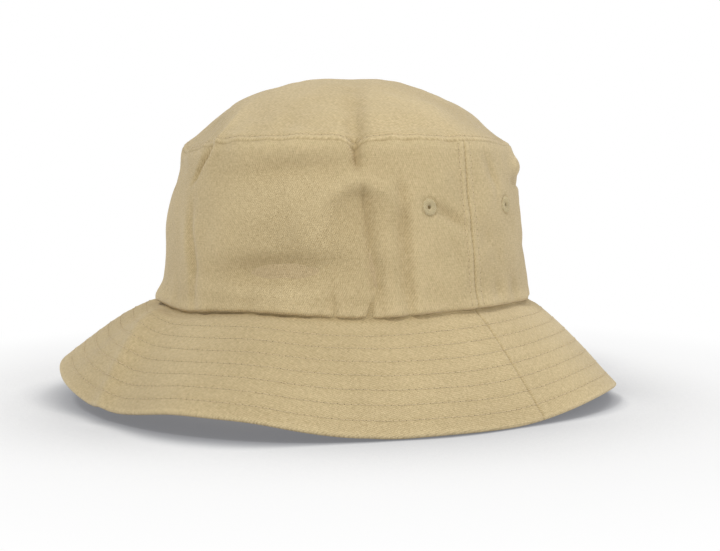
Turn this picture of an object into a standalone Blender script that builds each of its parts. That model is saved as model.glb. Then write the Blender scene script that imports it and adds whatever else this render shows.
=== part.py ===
"""A cotton bucket hat: six-piece shell, stiffened brim, sweatband, seam tapes, sewn eyelets and stitching.

Metres, +Z up. The brim's edge stands on z = 0, -Y is the front, +X the wearer's left. Every wall is
worked out from one ellipse, the outside of the crown at the brim seam: a point is (angle, out, z), with
`out` the distance outwards from that ellipse.
"""

import math

import bmesh
import bpy
from mathutils import Matrix, Vector

# ---- overall sizes ----
SEAM_HALF_X = 0.0940  # half width of the crown at the brim seam, side to side
SEAM_HALF_Y = 0.0995  # and front to back
CROWN_HEIGHT = 0.0810  # brim seam to top seam
CROWN_TAPER = 0.0096  # how far the top seam lies inside the brim seam
CROWN_BULGE = 0.0012  # how far the side swells at half height
TOP_RISE = 0.0340  # the top panel's rise above its seam
TOP_POWER = 2.3  # 2 is a plain dome, more is flatter in the middle
BRIM_WIDTH = 0.0630  # along the cloth
REST_SLOPE = math.radians(50.5)  # brim below level where its edge touches the table

# ---- the brim's waves ----
BRIM_PRESS = math.radians(4.0)  # how far an unlifted brim would pass the table
BRIM_LIFTS = (  # angle, spread and lift, in degrees
    (-133, 43, 25.5),
    (-63, 25, 14.5),
    (24, 30, 15.5),
    (109, 30, 12.5),
)

# ---- cloth, trims and clearances ----
CLOTH = 0.0008
INTERFACING = 0.0004
TAPE = 0.0005
SWEATBAND = 0.0010
GAP = 0.0003  # between pieces that touch
TAPE_GAP = 0.0006  # a tape's edges lie off the panel's facets
ALLOWANCE = 0.0080  # cloth turned up at the brim seam
EDGE_ROLL = 0.0020  # the upper brim cloth rolled round the edge
SWEATBAND_HEIGHT = 0.0300
TOP_TAPE_HEIGHT = 0.0110
SIDE_TAPE_WIDTH = 0.0120

# ---- stitching ----
THREAD = 0.0005
BRIM_ROWS = 7
FIRST_ROW = 0.0095  # from the brim seam
LAST_ROW = 0.0079  # from the edge
TOP_STITCH_INSET = 0.0030  # from the top seam
SIDE_STITCH_INSET = 0.0040  # from the side seam
BAND_STITCH_INSET = 0.0030  # from the sweatband's lower edge

# ---- eyelets ----
EYELET_ANGLES = {"front": 15.0, "back": 18.8}  # degrees from the side seam
EYELET_HEIGHT = 0.0502  # above the brim seam
EYELET_BORE = 0.0009
EYELET_NECK = 0.0022
EYELET_RADIUS = 0.0040
EYELET_RIM = 0.0006
EYELET_GAP = 0.0004  # the rims are flat and the panel is curved

# ---- label ----
LABEL_WIDTH = 0.0240
LABEL_LENGTH = 0.0300
LABEL_THICKNESS = 0.0006
LABEL_DROP = 0.0020  # its upper edge below the sweatband's

# ---- resolution ----
AROUND = 48  # facets round the hat
CROWN_ROWS = 4
BAND_ROWS = 2
BRIM_STEPS = 4
DOME_RINGS = (0.28, 0.52, 0.72, 0.88)  # shares of the top panel's radius
EYELET_SIDES = 12
SMOOTH_ANGLE = math.radians(35)
FULL_TURN = 2 * math.pi

# ---- derived places ----
BASE_Z = BRIM_WIDTH * math.sin(REST_SLOPE)
TOP_Z = BASE_Z + CROWN_HEIGHT
BRIM_INSET = CLOTH + GAP  # the brim turns up inside the crown panel
LOWER_DEPTH = CLOTH + GAP + INTERFACING + GAP
BRIM_DEPTH = LOWER_DEPTH + CLOTH
BAND_INSET = BRIM_INSET + CLOTH + GAP + CLOTH + GAP
LABEL_TOP_Z = BASE_Z + SWEATBAND_HEIGHT - LABEL_DROP
ROW_PITCH = (BRIM_WIDTH - FIRST_ROW - LAST_ROW) / (BRIM_ROWS - 1)
CUTTER_LENGTH = 8 * CLOTH  # through the panel and well out of both faces
WELD = GAP / 100

COLOURS = {
    "twill": (0.540, 0.420, 0.240),
    "twill_inside": (0.500, 0.385, 0.215),
    "thread": (0.560, 0.440, 0.260),
    "tape": (0.470, 0.360, 0.200),
    "interfacing": (0.780, 0.770, 0.740),
    "label": (0.860, 0.850, 0.820),
}
CLOTH_ROUGHNESS = 0.9


def clear_scene():
    for old in list(bpy.data.objects):
        bpy.data.objects.remove(old)


def material(name):
    """The material of this name, made on first use."""
    found = bpy.data.materials.get(name)
    if found:
        return found
    made = bpy.data.materials.new(name)
    made.use_nodes = True
    shader = made.node_tree.nodes["Principled BSDF"]
    shader.inputs["Base Color"].default_value = (*COLOURS[name], 1)
    shader.inputs["Roughness"].default_value = CLOTH_ROUGHNESS
    shader.inputs["Metallic"].default_value = 0
    return made


# ---- the hat's surfaces ----


def slope(angle):
    """How far below level the brim hangs at this angle, with its lifts, and never past the table."""
    total = REST_SLOPE + BRIM_PRESS
    for centre, spread, lift in BRIM_LIFTS:
        away = math.remainder(angle - math.radians(centre), FULL_TURN) / math.radians(spread)
        total -= math.radians(lift) * math.exp(-away * away)
    return min(total, REST_SLOPE)


def crown_out(z):
    """The crown side's outer face at height z."""
    share = (z - BASE_Z) / CROWN_HEIGHT
    return 4 * CROWN_BULGE * share * (1 - share) - CROWN_TAPER * share


def brim(angle, along, depth):
    """(out, z) at this distance down the brim and this depth under its upper face."""
    tilt = slope(angle)
    out = along * math.cos(tilt) - depth * math.sin(tilt) - BRIM_INSET
    return out, BASE_Z - along * math.sin(tilt) - depth * math.cos(tilt)


def brim_corner(angle, inset, depth):
    """(out, z) where a layer turns up from the brim's slope into the crown."""
    tilt = slope(angle)
    return -BRIM_INSET - inset, BASE_Z - (depth - inset * math.sin(tilt)) / math.cos(tilt)


def dome(share):
    """(out, z) of the top panel's outer face at this share of its radius; out is scaled, not offset."""
    return share, TOP_Z + GAP + TOP_RISE * (1 - share**TOP_POWER)


def outline_centre():
    """The middle of the brim's outline, which is put at x = y = 0."""
    reach = [brim(at, BRIM_WIDTH, 0)[0] for at in turn_angles()]
    xs = [(SEAM_HALF_X + out) * math.cos(at) for out, at in zip(reach, turn_angles())]
    ys = [(SEAM_HALF_Y + out) * math.sin(at) for out, at in zip(reach, turn_angles())]
    return (max(xs) + min(xs)) / 2, (max(ys) + min(ys)) / 2


def turn_angles():
    return [FULL_TURN * step / AROUND for step in range(AROUND)]


def half_angles(first):
    """A half turn from this angle, stopping short of both seams."""
    inset = GAP / 2 / (SEAM_HALF_X - CROWN_TAPER)
    span = math.pi - 2 * inset
    steps = AROUND // 2
    return [first + inset + span * step / steps for step in range(steps + 1)]


def place(angle, out, z):
    return Vector((
        (SEAM_HALF_X + out) * math.cos(angle) - CENTRE[0],
        (SEAM_HALF_Y + out) * math.sin(angle) - CENTRE[1],
        z,
    ))


# ---- mesh building ----


def add_object(name, mesh, finish):
    made = bpy.data.objects.new(name, mesh)
    bpy.context.scene.collection.objects.link(made)
    mesh.materials.append(material(finish))
    mesh.shade_smooth()
    mesh.set_sharp_from_angle(angle=SMOOTH_ANGLE)
    return made


def finish_mesh(name, shape, finish):
    bmesh.ops.triangulate(shape, faces=shape.faces[:], quad_method="FIXED", ngon_method="BEAUTY")
    bmesh.ops.recalc_face_normals(shape, faces=shape.faces[:])
    mesh = bpy.data.meshes.new(name)
    shape.to_mesh(mesh)
    shape.free()
    return add_object(name, mesh, finish)


def wall(name, finish, angles, section):
    """Carries a closed section, (out, z) points up one face and back down the other, round these angles."""
    shape = bmesh.new()
    rings = [[shape.verts.new(place(at, *point)) for point in section(at)] for at in angles]
    full = len(angles) == AROUND
    pairs = zip(rings, rings[1:] + rings[:1]) if full else zip(rings, rings[1:])
    for ring, following in pairs:
        for here in range(len(ring)):
            there = (here + 1) % len(ring)
            corners = (ring[here], ring[there], following[there], following[here])
            # Each quad is split from its higher corner, so that facing layers split alike.
            start = 1 if ring[there].co.z > ring[here].co.z else 0
            shape.faces.new(corners[start:] + corners[:start])
    if not full:
        for ring in (rings[0], rings[-1]):
            close_end(shape, ring)
    return finish_mesh(name, shape, finish)


def close_end(shape, ring):
    """Closes an end section rung by rung: its first half is one face of the wall, the rest the other."""
    last = len(ring) - 1
    for here in range(len(ring) // 2 - 1):
        shape.faces.new((ring[here], ring[here + 1], ring[last - here - 1], ring[last - here]))


def crown_layer(inset, thickness, low, high, rows):
    """A closed section against the crown's side, this far inside its outer face."""
    heights = [low + (high - low) * row / rows for row in range(rows + 1)]
    outer = [(crown_out(z) - inset, z) for z in heights]
    inner = [(crown_out(z) - inset - thickness, z) for z in reversed(heights)]
    return outer + inner


def brim_steps(first, last):
    """Distances down the brim from first to last, the ones between the same in every layer."""
    middle = [BRIM_WIDTH * step / BRIM_STEPS for step in range(1, BRIM_STEPS)]
    return [first, *middle, last]


def edge_inset(angle):
    """How far the level underside of the edge runs in from the brim's full width."""
    return BRIM_DEPTH / math.tan(slope(angle))


# ---- the pieces ----


def build_top_panel():
    """The dome, its edge standing on the side panels."""
    shape = bmesh.new()
    half_x = SEAM_HALF_X - CROWN_TAPER
    half_y = SEAM_HALF_Y - CROWN_TAPER

    def ring(out_x, out_y, z):
        return [
            shape.verts.new((out_x * math.cos(at) - CENTRE[0], out_y * math.sin(at) - CENTRE[1], z))
            for at in turn_angles()
        ]

    def inside(share):
        """The inner face's scale and drop: the outer face moved in along its slope."""
        steep = TOP_RISE * TOP_POWER * share ** (TOP_POWER - 1) / half_x
        length = math.hypot(1, steep)
        return CLOTH * steep / length, CLOTH / length

    rings = []
    for share in DOME_RINGS:
        rings.append(ring(half_x * share, half_y * share, dome(share)[1]))
    rings.append(ring(half_x, half_y, TOP_Z + GAP))
    rings.append(ring(half_x - CLOTH, half_y - CLOTH, TOP_Z + GAP))
    for share in reversed(DOME_RINGS):
        pull, drop = inside(share)
        rings.append(ring(half_x * share - pull, half_y * share - pull, dome(share)[1] - drop))
    for above, below in zip(rings, rings[1:]):
        for here in range(AROUND):
            there = (here + 1) % AROUND
            shape.faces.new((above[here], above[there], below[there], below[here]))
    for first, z in ((rings[0], dome(0)[1]), (rings[-1], dome(0)[1] - CLOTH)):
        pole = shape.verts.new((-CENTRE[0], -CENTRE[1], z))
        for here in range(AROUND):
            shape.faces.new((first[here], first[(here + 1) % AROUND], pole))
    return finish_mesh("crown_top_panel", shape, "twill")


def build_crown_sides():
    sides = {}
    for name, first in (("front", -math.pi), ("back", 0)):
        section = crown_layer(0, CLOTH, BASE_Z + GAP, TOP_Z, CROWN_ROWS)
        sides[name] = wall(f"crown_side_{name}", "twill", half_angles(first), lambda at: section)
    return sides


def upper_section(angle):
    """The upper cloth: turned up inside the crown, down the brim, rolled round the edge."""
    stand_z = BASE_Z + ALLOWANCE
    stand_out = crown_out(stand_z) - BRIM_INSET
    edge_in = BRIM_WIDTH - edge_inset(angle)
    steps = brim_steps(0, edge_in - EDGE_ROLL)
    outer = [brim(angle, along, 0) for along in steps]
    outer[0] = brim_corner(angle, 0, 0)
    rolled = [brim(angle, BRIM_WIDTH, 0), brim(angle, edge_in, BRIM_DEPTH)]
    inner = [brim(angle, along, CLOTH) for along in reversed(steps)]
    inner[-1] = brim_corner(angle, CLOTH, CLOTH)
    return [(stand_out, stand_z), *outer, *rolled, *inner, (stand_out - CLOTH, stand_z)]


def lower_section(angle):
    """The lower cloth: turned up inside the upper, down the brim to the rolled edge."""
    stand_z = BASE_Z + ALLOWANCE
    inset = CLOTH + GAP
    stand_out = crown_out(stand_z) - BRIM_INSET - inset
    last = BRIM_WIDTH - edge_inset(angle) - EDGE_ROLL - GAP
    outer = [brim(angle, along, LOWER_DEPTH) for along in brim_steps(0, last)]
    outer[0] = brim_corner(angle, inset, LOWER_DEPTH)
    inner = [brim(angle, along, BRIM_DEPTH) for along in reversed(brim_steps(0, last))]
    inner[-1] = brim_corner(angle, inset + CLOTH, BRIM_DEPTH)
    return [(stand_out, stand_z), *outer, *inner, (stand_out - CLOTH, stand_z)]


def interfacing_section(angle):
    """The stiffener, between the two cloths."""
    first = BRIM_DEPTH
    last = BRIM_WIDTH - edge_inset(angle) - EDGE_ROLL - GAP
    outer = [brim(angle, along, CLOTH + GAP) for along in brim_steps(first, last)]
    inner = [brim(angle, along, LOWER_DEPTH - GAP) for along in reversed(brim_steps(first, last))]
    return outer + inner


def build_brim():
    layers = (
        ("brim_upper", "twill", upper_section),
        ("brim_interfacing", "interfacing", interfacing_section),
        ("brim_lower", "twill_inside", lower_section),
    )
    for layer, finish, section in layers:
        for side, first in (("front", -math.pi), ("back", 0)):
            wall(f"{layer}_{side}", finish, half_angles(first), section)


def build_sweatband():
    section = crown_layer(BAND_INSET, SWEATBAND, BASE_Z, BASE_Z + SWEATBAND_HEIGHT, BAND_ROWS)
    wall("sweatband", "twill_inside", turn_angles(), lambda at: section)


def build_tapes():
    """The tape over the top seam, and one up each side seam from the sweatband to it."""
    ring_low = TOP_Z - TOP_TAPE_HEIGHT
    ring = crown_layer(CLOTH + GAP, TAPE, ring_low, TOP_Z - GAP, 1)
    wall("top_seam_tape", "tape", turn_angles(), lambda at: ring)
    low = BASE_Z + SWEATBAND_HEIGHT + GAP
    strip = crown_layer(CLOTH + TAPE_GAP, TAPE, low, ring_low - GAP, BAND_ROWS)
    spread = SIDE_TAPE_WIDTH / 2 / SEAM_HALF_X
    for side, seam in (("left", 0), ("right", math.pi)):
        angles = [seam - spread, seam, seam + spread]
        wall(f"side_seam_tape_{side}", "tape", angles, lambda at: strip)


def thread_section(middle, across, lift):
    """A three-sided thread that stands `lift` off the point `middle`, its base along `across`."""
    normal = Vector((-across.y, across.x))
    foot = middle + normal * lift
    corners = (foot - across * THREAD / 2, foot + across * THREAD / 2, foot + normal * THREAD)
    return [tuple(corner) for corner in corners]


def build_brim_stitches():
    for row in range(BRIM_ROWS):
        along = FIRST_ROW + ROW_PITCH * row

        def section(angle):
            tilt = slope(angle)
            down = Vector((-math.cos(tilt), math.sin(tilt)))
            return thread_section(Vector(brim(angle, along, 0)), -down, GAP)

        wall(f"brim_stitch_row_{row + 1}", "thread", turn_angles(), section)


def build_crown_stitches(half_x):
    """The rows beside the top seam, the side seams and the sweatband's lower edge."""
    share = 1 - TOP_STITCH_INSET / half_x
    steep = math.atan2(TOP_RISE * TOP_POWER * share ** (TOP_POWER - 1), half_x)
    middle = Vector((half_x * share - SEAM_HALF_X, dome(share)[1]))
    top = thread_section(middle, Vector((math.cos(steep), -math.sin(steep))), GAP)
    wall("top_seam_stitch", "thread", turn_angles(), lambda at: top)

    band_z = BASE_Z + BAND_STITCH_INSET
    band_face = Vector((crown_out(band_z) - BAND_INSET - SWEATBAND, band_z))
    band = thread_section(band_face, Vector((0, 1)), GAP)
    wall("sweatband_stitch", "thread", turn_angles(), lambda at: band)

    side = crown_layer(-GAP - THREAD, THREAD, BASE_Z + GAP, TOP_Z - GAP, CROWN_ROWS)
    inset = SIDE_STITCH_INSET / SEAM_HALF_X
    half_thread = THREAD / 2 / SEAM_HALF_X
    for name, seam, front in (("left", 0, -1), ("right", math.pi, 1)):
        for end, way in (("front", front), ("back", -front)):
            middle_angle = seam + way * inset
            angles = [middle_angle - half_thread, middle_angle + half_thread]
            wall(f"side_stitch_{name}_{end}", "thread", angles, lambda at: side)


def eyelet_place(angle):
    """The frame of an eyelet: its middle in the cloth, +Z along the panel's outward normal."""
    z = BASE_Z + EYELET_HEIGHT
    turn = CLOTH / SEAM_HALF_X
    low, high = z - CLOTH, z + CLOTH
    middle = place(angle, crown_out(z) - CLOTH / 2, z)
    along = place(angle + turn, crown_out(z), z) - place(angle - turn, crown_out(z), z)
    up = place(angle, crown_out(high), high) - place(angle, crown_out(low), low)
    along.normalize()
    normal = along.cross(up).normalized()
    return Matrix.Translation(middle) @ Matrix((along, normal.cross(along), normal)).transposed().to_4x4()


def eyelet_mesh():
    """A turned spool: a neck through the cloth between two flat rims."""
    half_neck = CLOTH / 2 + EYELET_GAP
    half_all = half_neck + EYELET_RIM
    profile = (
        (EYELET_BORE, half_all), (EYELET_RADIUS, half_all), (EYELET_RADIUS, half_neck),
        (EYELET_NECK, half_neck), (EYELET_NECK, -half_neck), (EYELET_RADIUS, -half_neck),
        (EYELET_RADIUS, -half_all), (EYELET_BORE, -half_all),
    )
    shape = bmesh.new()
    verts = [shape.verts.new((radius, 0, height)) for radius, height in profile]
    edges = [shape.edges.new((verts[here - 1], verts[here])) for here in range(len(verts))]
    bmesh.ops.spin(
        shape, geom=verts + edges, cent=(0, 0, 0), axis=(0, 0, 1), angle=FULL_TURN,
        steps=EYELET_SIDES, use_merge=True,
    )
    bmesh.ops.remove_doubles(shape, verts=shape.verts[:], dist=WELD)
    bmesh.ops.recalc_face_normals(shape, faces=shape.faces[:])
    mesh = bpy.data.meshes.new("eyelet")
    shape.to_mesh(mesh)
    shape.free()
    return mesh


def eyelet_cutter(name, frame):
    """The guide that cuts an eyelet's hole in its panel."""
    shape = bmesh.new()
    radius = EYELET_NECK + GAP
    bmesh.ops.create_cone(
        shape, cap_ends=True, segments=EYELET_SIDES, radius1=radius, radius2=radius, depth=CUTTER_LENGTH
    )
    mesh = bpy.data.meshes.new(name)
    shape.to_mesh(mesh)
    shape.free()
    cutter = bpy.data.objects.new(name, mesh)
    bpy.context.scene.collection.objects.link(cutter)
    cutter.matrix_world = frame
    cutter.hide_render = True
    cutter.display_type = "WIRE"
    return cutter


def build_eyelets(panels):
    """Two eyelets beside each side seam, one in each side panel, and their holes."""
    for side, seam, front in (("left", 0, -1), ("right", math.pi, 1)):
        for end, way in (("front", front), ("back", -front)):
            frame = eyelet_place(seam + way * math.radians(EYELET_ANGLES[end]))
            eyelet = add_object(f"eyelet_{side}_{end}", eyelet_mesh(), "thread")
            eyelet.matrix_world = frame
            cut = panels[end].modifiers.new(f"hole_{side}", "BOOLEAN")
            cut.operation = "DIFFERENCE"
            cut.solver = "EXACT"
            cut.object = eyelet_cutter(f"eyelet_hole_{side}_{end}", frame)


def build_label():
    """The care label, hung from the back of the sweatband; its origin is on its hinge line."""
    face = crown_out(LABEL_TOP_Z) - BAND_INSET - SWEATBAND
    half_x = SEAM_HALF_X + face
    half_y = SEAM_HALF_Y + face
    half_width = LABEL_WIDTH / 2
    wall_y = half_y * math.sqrt(1 - (half_width / half_x) ** 2)
    hinge = Vector((-CENTRE[0], wall_y - GAP - LABEL_THICKNESS / 2 - CENTRE[1], LABEL_TOP_Z))
    shape = bmesh.new()
    bmesh.ops.create_cube(shape, size=1)
    bmesh.ops.scale(shape, vec=(LABEL_WIDTH, LABEL_THICKNESS, LABEL_LENGTH), verts=shape.verts[:])
    bmesh.ops.translate(shape, vec=(0, 0, -LABEL_LENGTH / 2), verts=shape.verts[:])
    label = finish_mesh("care_label", shape, "label")
    label.location = hinge


CENTRE = outline_centre()


def main():
    clear_scene()
    build_top_panel()
    panels = build_crown_sides()
    build_brim()
    build_sweatband()
    build_tapes()
    build_brim_stitches()
    build_crown_stitches(SEAM_HALF_X - CROWN_TAPER)
    build_eyelets(panels)
    build_label()


main()
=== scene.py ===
"""The looks of a cotton twill bucket hat, laid over the fixed frame of its CAD model.

Metres, +Z up, -Y the front and +X the wearer's left. A place on the hat is its angle round the
crown's axis (0 at the wearer's left, anticlockwise from above) and its run, the distance along
the cloth from the brim seam: up the crown and over the top panel, or down the brim. Every piece
is a surface over these two, worked out as whole arrays.
"""

import logging
import math
from dataclasses import dataclass
from enum import Enum
from typing import Callable

import bmesh
import bpy
import numpy as np
from mathutils import Matrix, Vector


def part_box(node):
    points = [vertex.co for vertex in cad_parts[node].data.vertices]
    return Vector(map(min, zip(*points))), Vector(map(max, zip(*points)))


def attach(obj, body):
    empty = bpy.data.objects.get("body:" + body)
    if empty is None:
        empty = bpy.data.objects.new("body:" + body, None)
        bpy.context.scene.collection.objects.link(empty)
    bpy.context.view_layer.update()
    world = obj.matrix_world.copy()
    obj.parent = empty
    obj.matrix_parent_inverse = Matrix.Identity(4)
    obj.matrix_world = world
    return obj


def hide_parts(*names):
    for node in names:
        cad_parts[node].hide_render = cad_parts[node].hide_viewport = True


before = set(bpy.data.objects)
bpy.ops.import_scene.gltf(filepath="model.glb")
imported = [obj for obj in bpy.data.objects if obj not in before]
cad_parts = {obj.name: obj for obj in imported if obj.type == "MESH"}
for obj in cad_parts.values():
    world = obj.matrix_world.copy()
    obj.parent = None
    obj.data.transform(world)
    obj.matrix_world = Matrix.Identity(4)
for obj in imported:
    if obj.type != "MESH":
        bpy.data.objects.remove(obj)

log = logging.getLogger("bucket_hat")

Array = np.ndarray
Surface = Callable[[Array, Array], Array]
Colour = tuple[float, float, float]

MM = 0.001
TURN = 2 * math.pi
HALF_TURN = math.pi
WEAVE = "weave"
# Name of the per-point colour attribute: painted shade in ditches and hollows, painted highlight on
# swells and edges, lighter edges on tapes and the label.
WEAR_AND_PAINTED_LIGHT = "wear_and_painted_light"
SHARP = math.radians(50)


# ---- arithmetic on arrays ----


def unit(vectors: Array) -> Array:
    """Each vector divided by its length."""
    return vectors / np.maximum(np.linalg.norm(vectors, axis=-1, keepdims=True), 1e-12)


def ease(value: Array, low: float, high: float) -> Array:
    """0 up to low and 1 from high, with 3t^2 - 2t^3 between them."""
    share = np.clip((value - low) / (high - low), 0, 1)
    return share * share * (3 - 2 * share)


def bell(distance: Array, width: float) -> Array:
    """exp(-(distance / width)^2)."""
    return np.exp(-((distance / width) ** 2))


def bearing(angle: Array, centre: float) -> Array:
    """How far an angle lies from centre, which is in degrees, as degrees from -180 to 180."""
    return (np.degrees(angle) - centre + 180) % 360 - 180


def from_seam(angle: Array, radius: Array | float) -> Array:
    """How far a place at this radius lies from the nearer side seam."""
    return np.abs(np.remainder(angle + HALF_TURN / 2, HALF_TURN) - HALF_TURN / 2) * radius


def leaning(angle: Array, tilt: Array) -> Array:
    """Unit vectors away from the axis at an angle, turned up by a tilt."""
    parts = np.cos(tilt) * np.cos(angle), np.cos(tilt) * np.sin(angle), np.sin(tilt)
    return np.stack(np.broadcast_arrays(*parts), -1)


def running_length(points: Array) -> Array:
    """The distance along a line of points, from 0 at the first."""
    return np.concatenate([[0], np.cumsum(np.linalg.norm(np.diff(points, axis=0), axis=1))])


def ring_noise(angle: Array, seed: int, low: int, high: int, count: int = 9) -> Array:
    """A seeded sum of cosines with whole numbers of waves per turn, so that it closes on itself.

    Args:
        angle: Angles in radians.
        seed: Picks the waves and their phases.
        low: Fewest waves per turn.
        high: Most waves per turn.
        count: How many cosines are added.

    Returns:
        Values with a mean square of about one.
    """
    picked = np.random.default_rng(seed)
    waves = picked.integers(low, high + 1, count)
    phases = picked.uniform(0, TURN, count)
    turned = np.asarray(angle)[..., None] * waves + phases
    return np.cos(turned).sum(-1) / math.sqrt(count / 2)


def graded(
    length: float, spots: tuple[float, ...], fine: float, coarse: float, reach: float
) -> Array:
    """Places from 0 to length, close together at the spots and further apart between them.

    The density is 1 / step, where the step eases from fine to coarse within reach of the nearest
    spot; its running sum is cut into equal shares.

    Args:
        length: Last place.
        spots: Where the places are closest.
        fine: Step at a spot.
        coarse: Step away from the spots.
        reach: Distance over which the step grows.

    Returns:
        The places, the first 0 and the last length.
    """
    along = np.linspace(0, length, 4000)
    nearest = np.abs(along[:, None] - np.array(spots)).min(1)
    density = 1 / (fine + (coarse - fine) * ease(nearest, 0, reach))
    total = np.concatenate([[0], np.cumsum((density[1:] + density[:-1]) / 2 * np.diff(along))])
    return np.interp(np.linspace(0, total[-1], int(math.ceil(total[-1])) + 1), total, along)


# ---- the hat's rest shape ----


@dataclass(frozen=True)
class HatShape:
    """The smooth rest shape, its places read from the boxes of the CAD nodes.

    Attributes:
        axis_x, axis_y: The crown's axis.
        half_x, half_y: Half widths of the crown's outer face at the brim seam.
        base_z: Height of the brim seam.
        top_z: Height of the top seam.
        peak_z: Height of the middle of the top panel.
        taper, bulge: How far the side leans in by the top seam, and swells at half height.
        dome_power, dome_edge_tilt: The top panel's roundness, and its folds' tilt at the seam.
        curl_run, curl_radius: Where the side's hem turns in, and how tightly.
        brim_width, brim_depth, brim_inset: The brim along the cloth, through it, and its start.
        rest_slope, press, edge_slope, blend_slope: The brim's slope without lifts, what its weight
            adds, the slope at which its edge meets the table, and the softness of that limit.
        lifts: (degrees, spread in degrees, degrees raised) along the brim.
        sags: (degrees, spread in degrees, mm raised) along the brim seam.
    """

    axis_x: float
    axis_y: float
    half_x: float
    half_y: float
    base_z: float
    top_z: float
    peak_z: float
    taper: float = 9.6 * MM
    bulge: float = 1.2 * MM
    dome_power: float = 2.3
    dome_edge_tilt: float = math.radians(47)
    curl_run: float = 2.4 * MM
    curl_radius: float = 1.7 * MM
    brim_width: float = 63 * MM
    brim_depth: float = 2.6 * MM
    brim_inset: float = 1.1 * MM
    rest_slope: float = math.radians(50.5)
    edge_slope: float = math.radians(48.8)
    press: float = math.radians(4)
    blend_slope: float = math.radians(0.8)
    lifts: tuple[tuple[float, float, float], ...] = (
        (-95, 10, -7),
        (-68, 20, 3),
        (-133, 43, 25.5),
        (-63, 25, 14.5),
        (24, 30, 15.5),
        (109, 30, 12.5),
    )
    sags: tuple[tuple[float, float, float], ...] = (
        (-97, 13, -1.3),
        (-68, 17, 1.3),
        (-34, 13, -1.2),
        (6, 16, 0.5),
        (66, 16, -0.9),
        (100, 20, 0.8),
        (152, 16, -0.9),
    )

    @classmethod
    def from_frame(cls) -> "HatShape":
        """Reads the axis, half widths and heights from the CAD nodes' boxes.

        Returns:
            The shape in the row's frame.
        """
        front_low, front_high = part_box("crown_side_front")
        back_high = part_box("crown_side_back")[1]
        top_low, top_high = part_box("crown_top_panel")
        return cls(
            axis_x=(front_low.x + front_high.x) / 2,
            axis_y=(front_low.y + back_high.y) / 2,
            half_x=(front_high.x - front_low.x) / 2,
            half_y=(back_high.y - front_low.y) / 2,
            base_z=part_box("sweatband")[0].z,
            top_z=top_low.z,
            peak_z=top_high.z,
        )

    @property
    def side_run(self) -> float:
        """The run at the top seam."""
        return self.top_z - self.base_z

    @property
    def mean_half(self) -> float:
        """The mean radius of the crown at the brim seam."""
        return (self.half_x + self.half_y) / 2

    def dome_table(self) -> tuple[Array, Array]:
        """The top panel's arc from its seam, and its share of the radius there.

        The height over the seam is rise * (1 - share^power), and the arc is the running length.

        Returns:
            The arc lengths and the shares.
        """
        share = np.linspace(1, 0, 241)
        rise = (self.peak_z - self.top_z) * (1 - share**self.dome_power)
        steps = np.hypot(np.diff(share) * (self.mean_half - self.taper), np.diff(rise))
        return np.concatenate([[0], np.cumsum(steps)]), share

    @property
    def pole_run(self) -> float:
        """The run at the middle of the top panel."""
        return self.side_run + float(self.dome_table()[0][-1])

    def place(self, angle: Array, out: Array, z: Array, share: Array | float = 1.0) -> Array:
        """Points at (half + out) * share from the axis, along the ellipse's own angle.

        Args:
            angle: Angles of the places.
            out: Distances out from the half widths.
            z: Heights.
            share: Shares of the distance from the axis.

        Returns:
            Points.
        """
        return np.stack(
            np.broadcast_arrays(
                self.axis_x + (self.half_x + out) * share * np.cos(angle),
                self.axis_y + (self.half_y + out) * share * np.sin(angle),
                z,
            ),
            -1,
        )

    def sag(self, angle: Array) -> Array:
        """How far the brim seam sags or rides up: a sum of bells, down at the brim's corners."""
        bells = (bell(bearing(angle, centre), spread) * lift for centre, spread, lift in self.sags)
        return sum(bells) * MM

    def crown(self, angle: Array, run: Array) -> Array:
        """The crown's smooth outer face, from the curl at its hem to the middle of the top.

        Up the side, out = 4 * bulge * s * (1 - s) - taper * s with s the share of the side's
        height. Under curl_run the cloth turns in on a circle. Over the top seam both half widths
        shrink by the dome's share while the height rises. The sag fades upwards in a bell.

        Args:
            angle: Angles of the places.
            run: Their runs.

        Returns:
            Points.
        """
        up = np.clip(run, self.curl_run, self.side_run)
        s = up / self.side_run
        bend = np.maximum(self.curl_run - run, 0) / self.curl_radius
        out = 4 * self.bulge * s * (1 - s) - self.taper * s - self.curl_radius * (1 - np.cos(bend))
        arc, shares = self.dome_table()
        share = np.interp(run - self.side_run, arc, shares)
        rise = (self.peak_z - self.top_z) * (1 - share**self.dome_power)
        high = self.base_z + up - self.curl_radius * np.sin(bend) + rise
        return self.place(angle, out, high + self.sag(angle) * bell(run, 14 * MM), share)

    def crown_outward(self, angle: Array, run: Array) -> Array:
        """The way the crown's folds stand: level on the side, turning up to the dome's normal.

        Args:
            angle: Angles of the places.
            run: Their runs.

        Returns:
            Unit vectors.
        """
        arc, shares = self.dome_table()
        share = np.interp(run - self.side_run, arc, shares)
        steep = (self.peak_z - self.top_z) * self.dome_power * share ** (self.dome_power - 1)
        over = np.arctan2(self.mean_half - self.taper, steep)
        side = self.dome_edge_tilt * ease(run, self.side_run - 25 * MM, self.side_run)
        tilt = np.where(run > self.side_run, over, side)
        return leaning(angle, tilt)

    def slope(self, angle: Array) -> Array:
        """How far below level the brim hangs: its unlifted slope less the bells of its lifts,
        rounded off where its edge would pass the table.

        Args:
            angle: Angles of the places.

        Returns:
            Radians below level.
        """
        total = self.rest_slope + self.press
        for centre, spread, lift in self.lifts:
            total = total - math.radians(lift) * bell(bearing(angle, centre), spread)
        soft = self.blend_slope
        return -soft * np.logaddexp(-total / soft, -self.edge_slope / soft)

    def brim_tilt(self, angle: Array, run: Array) -> Array:
        """The upper face's normal above level: level on the stand, then the slope's complement."""
        return (HALF_TURN / 2 - self.slope(angle)) * ease(run, -1.6 * MM, 1.6 * MM)

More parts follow.
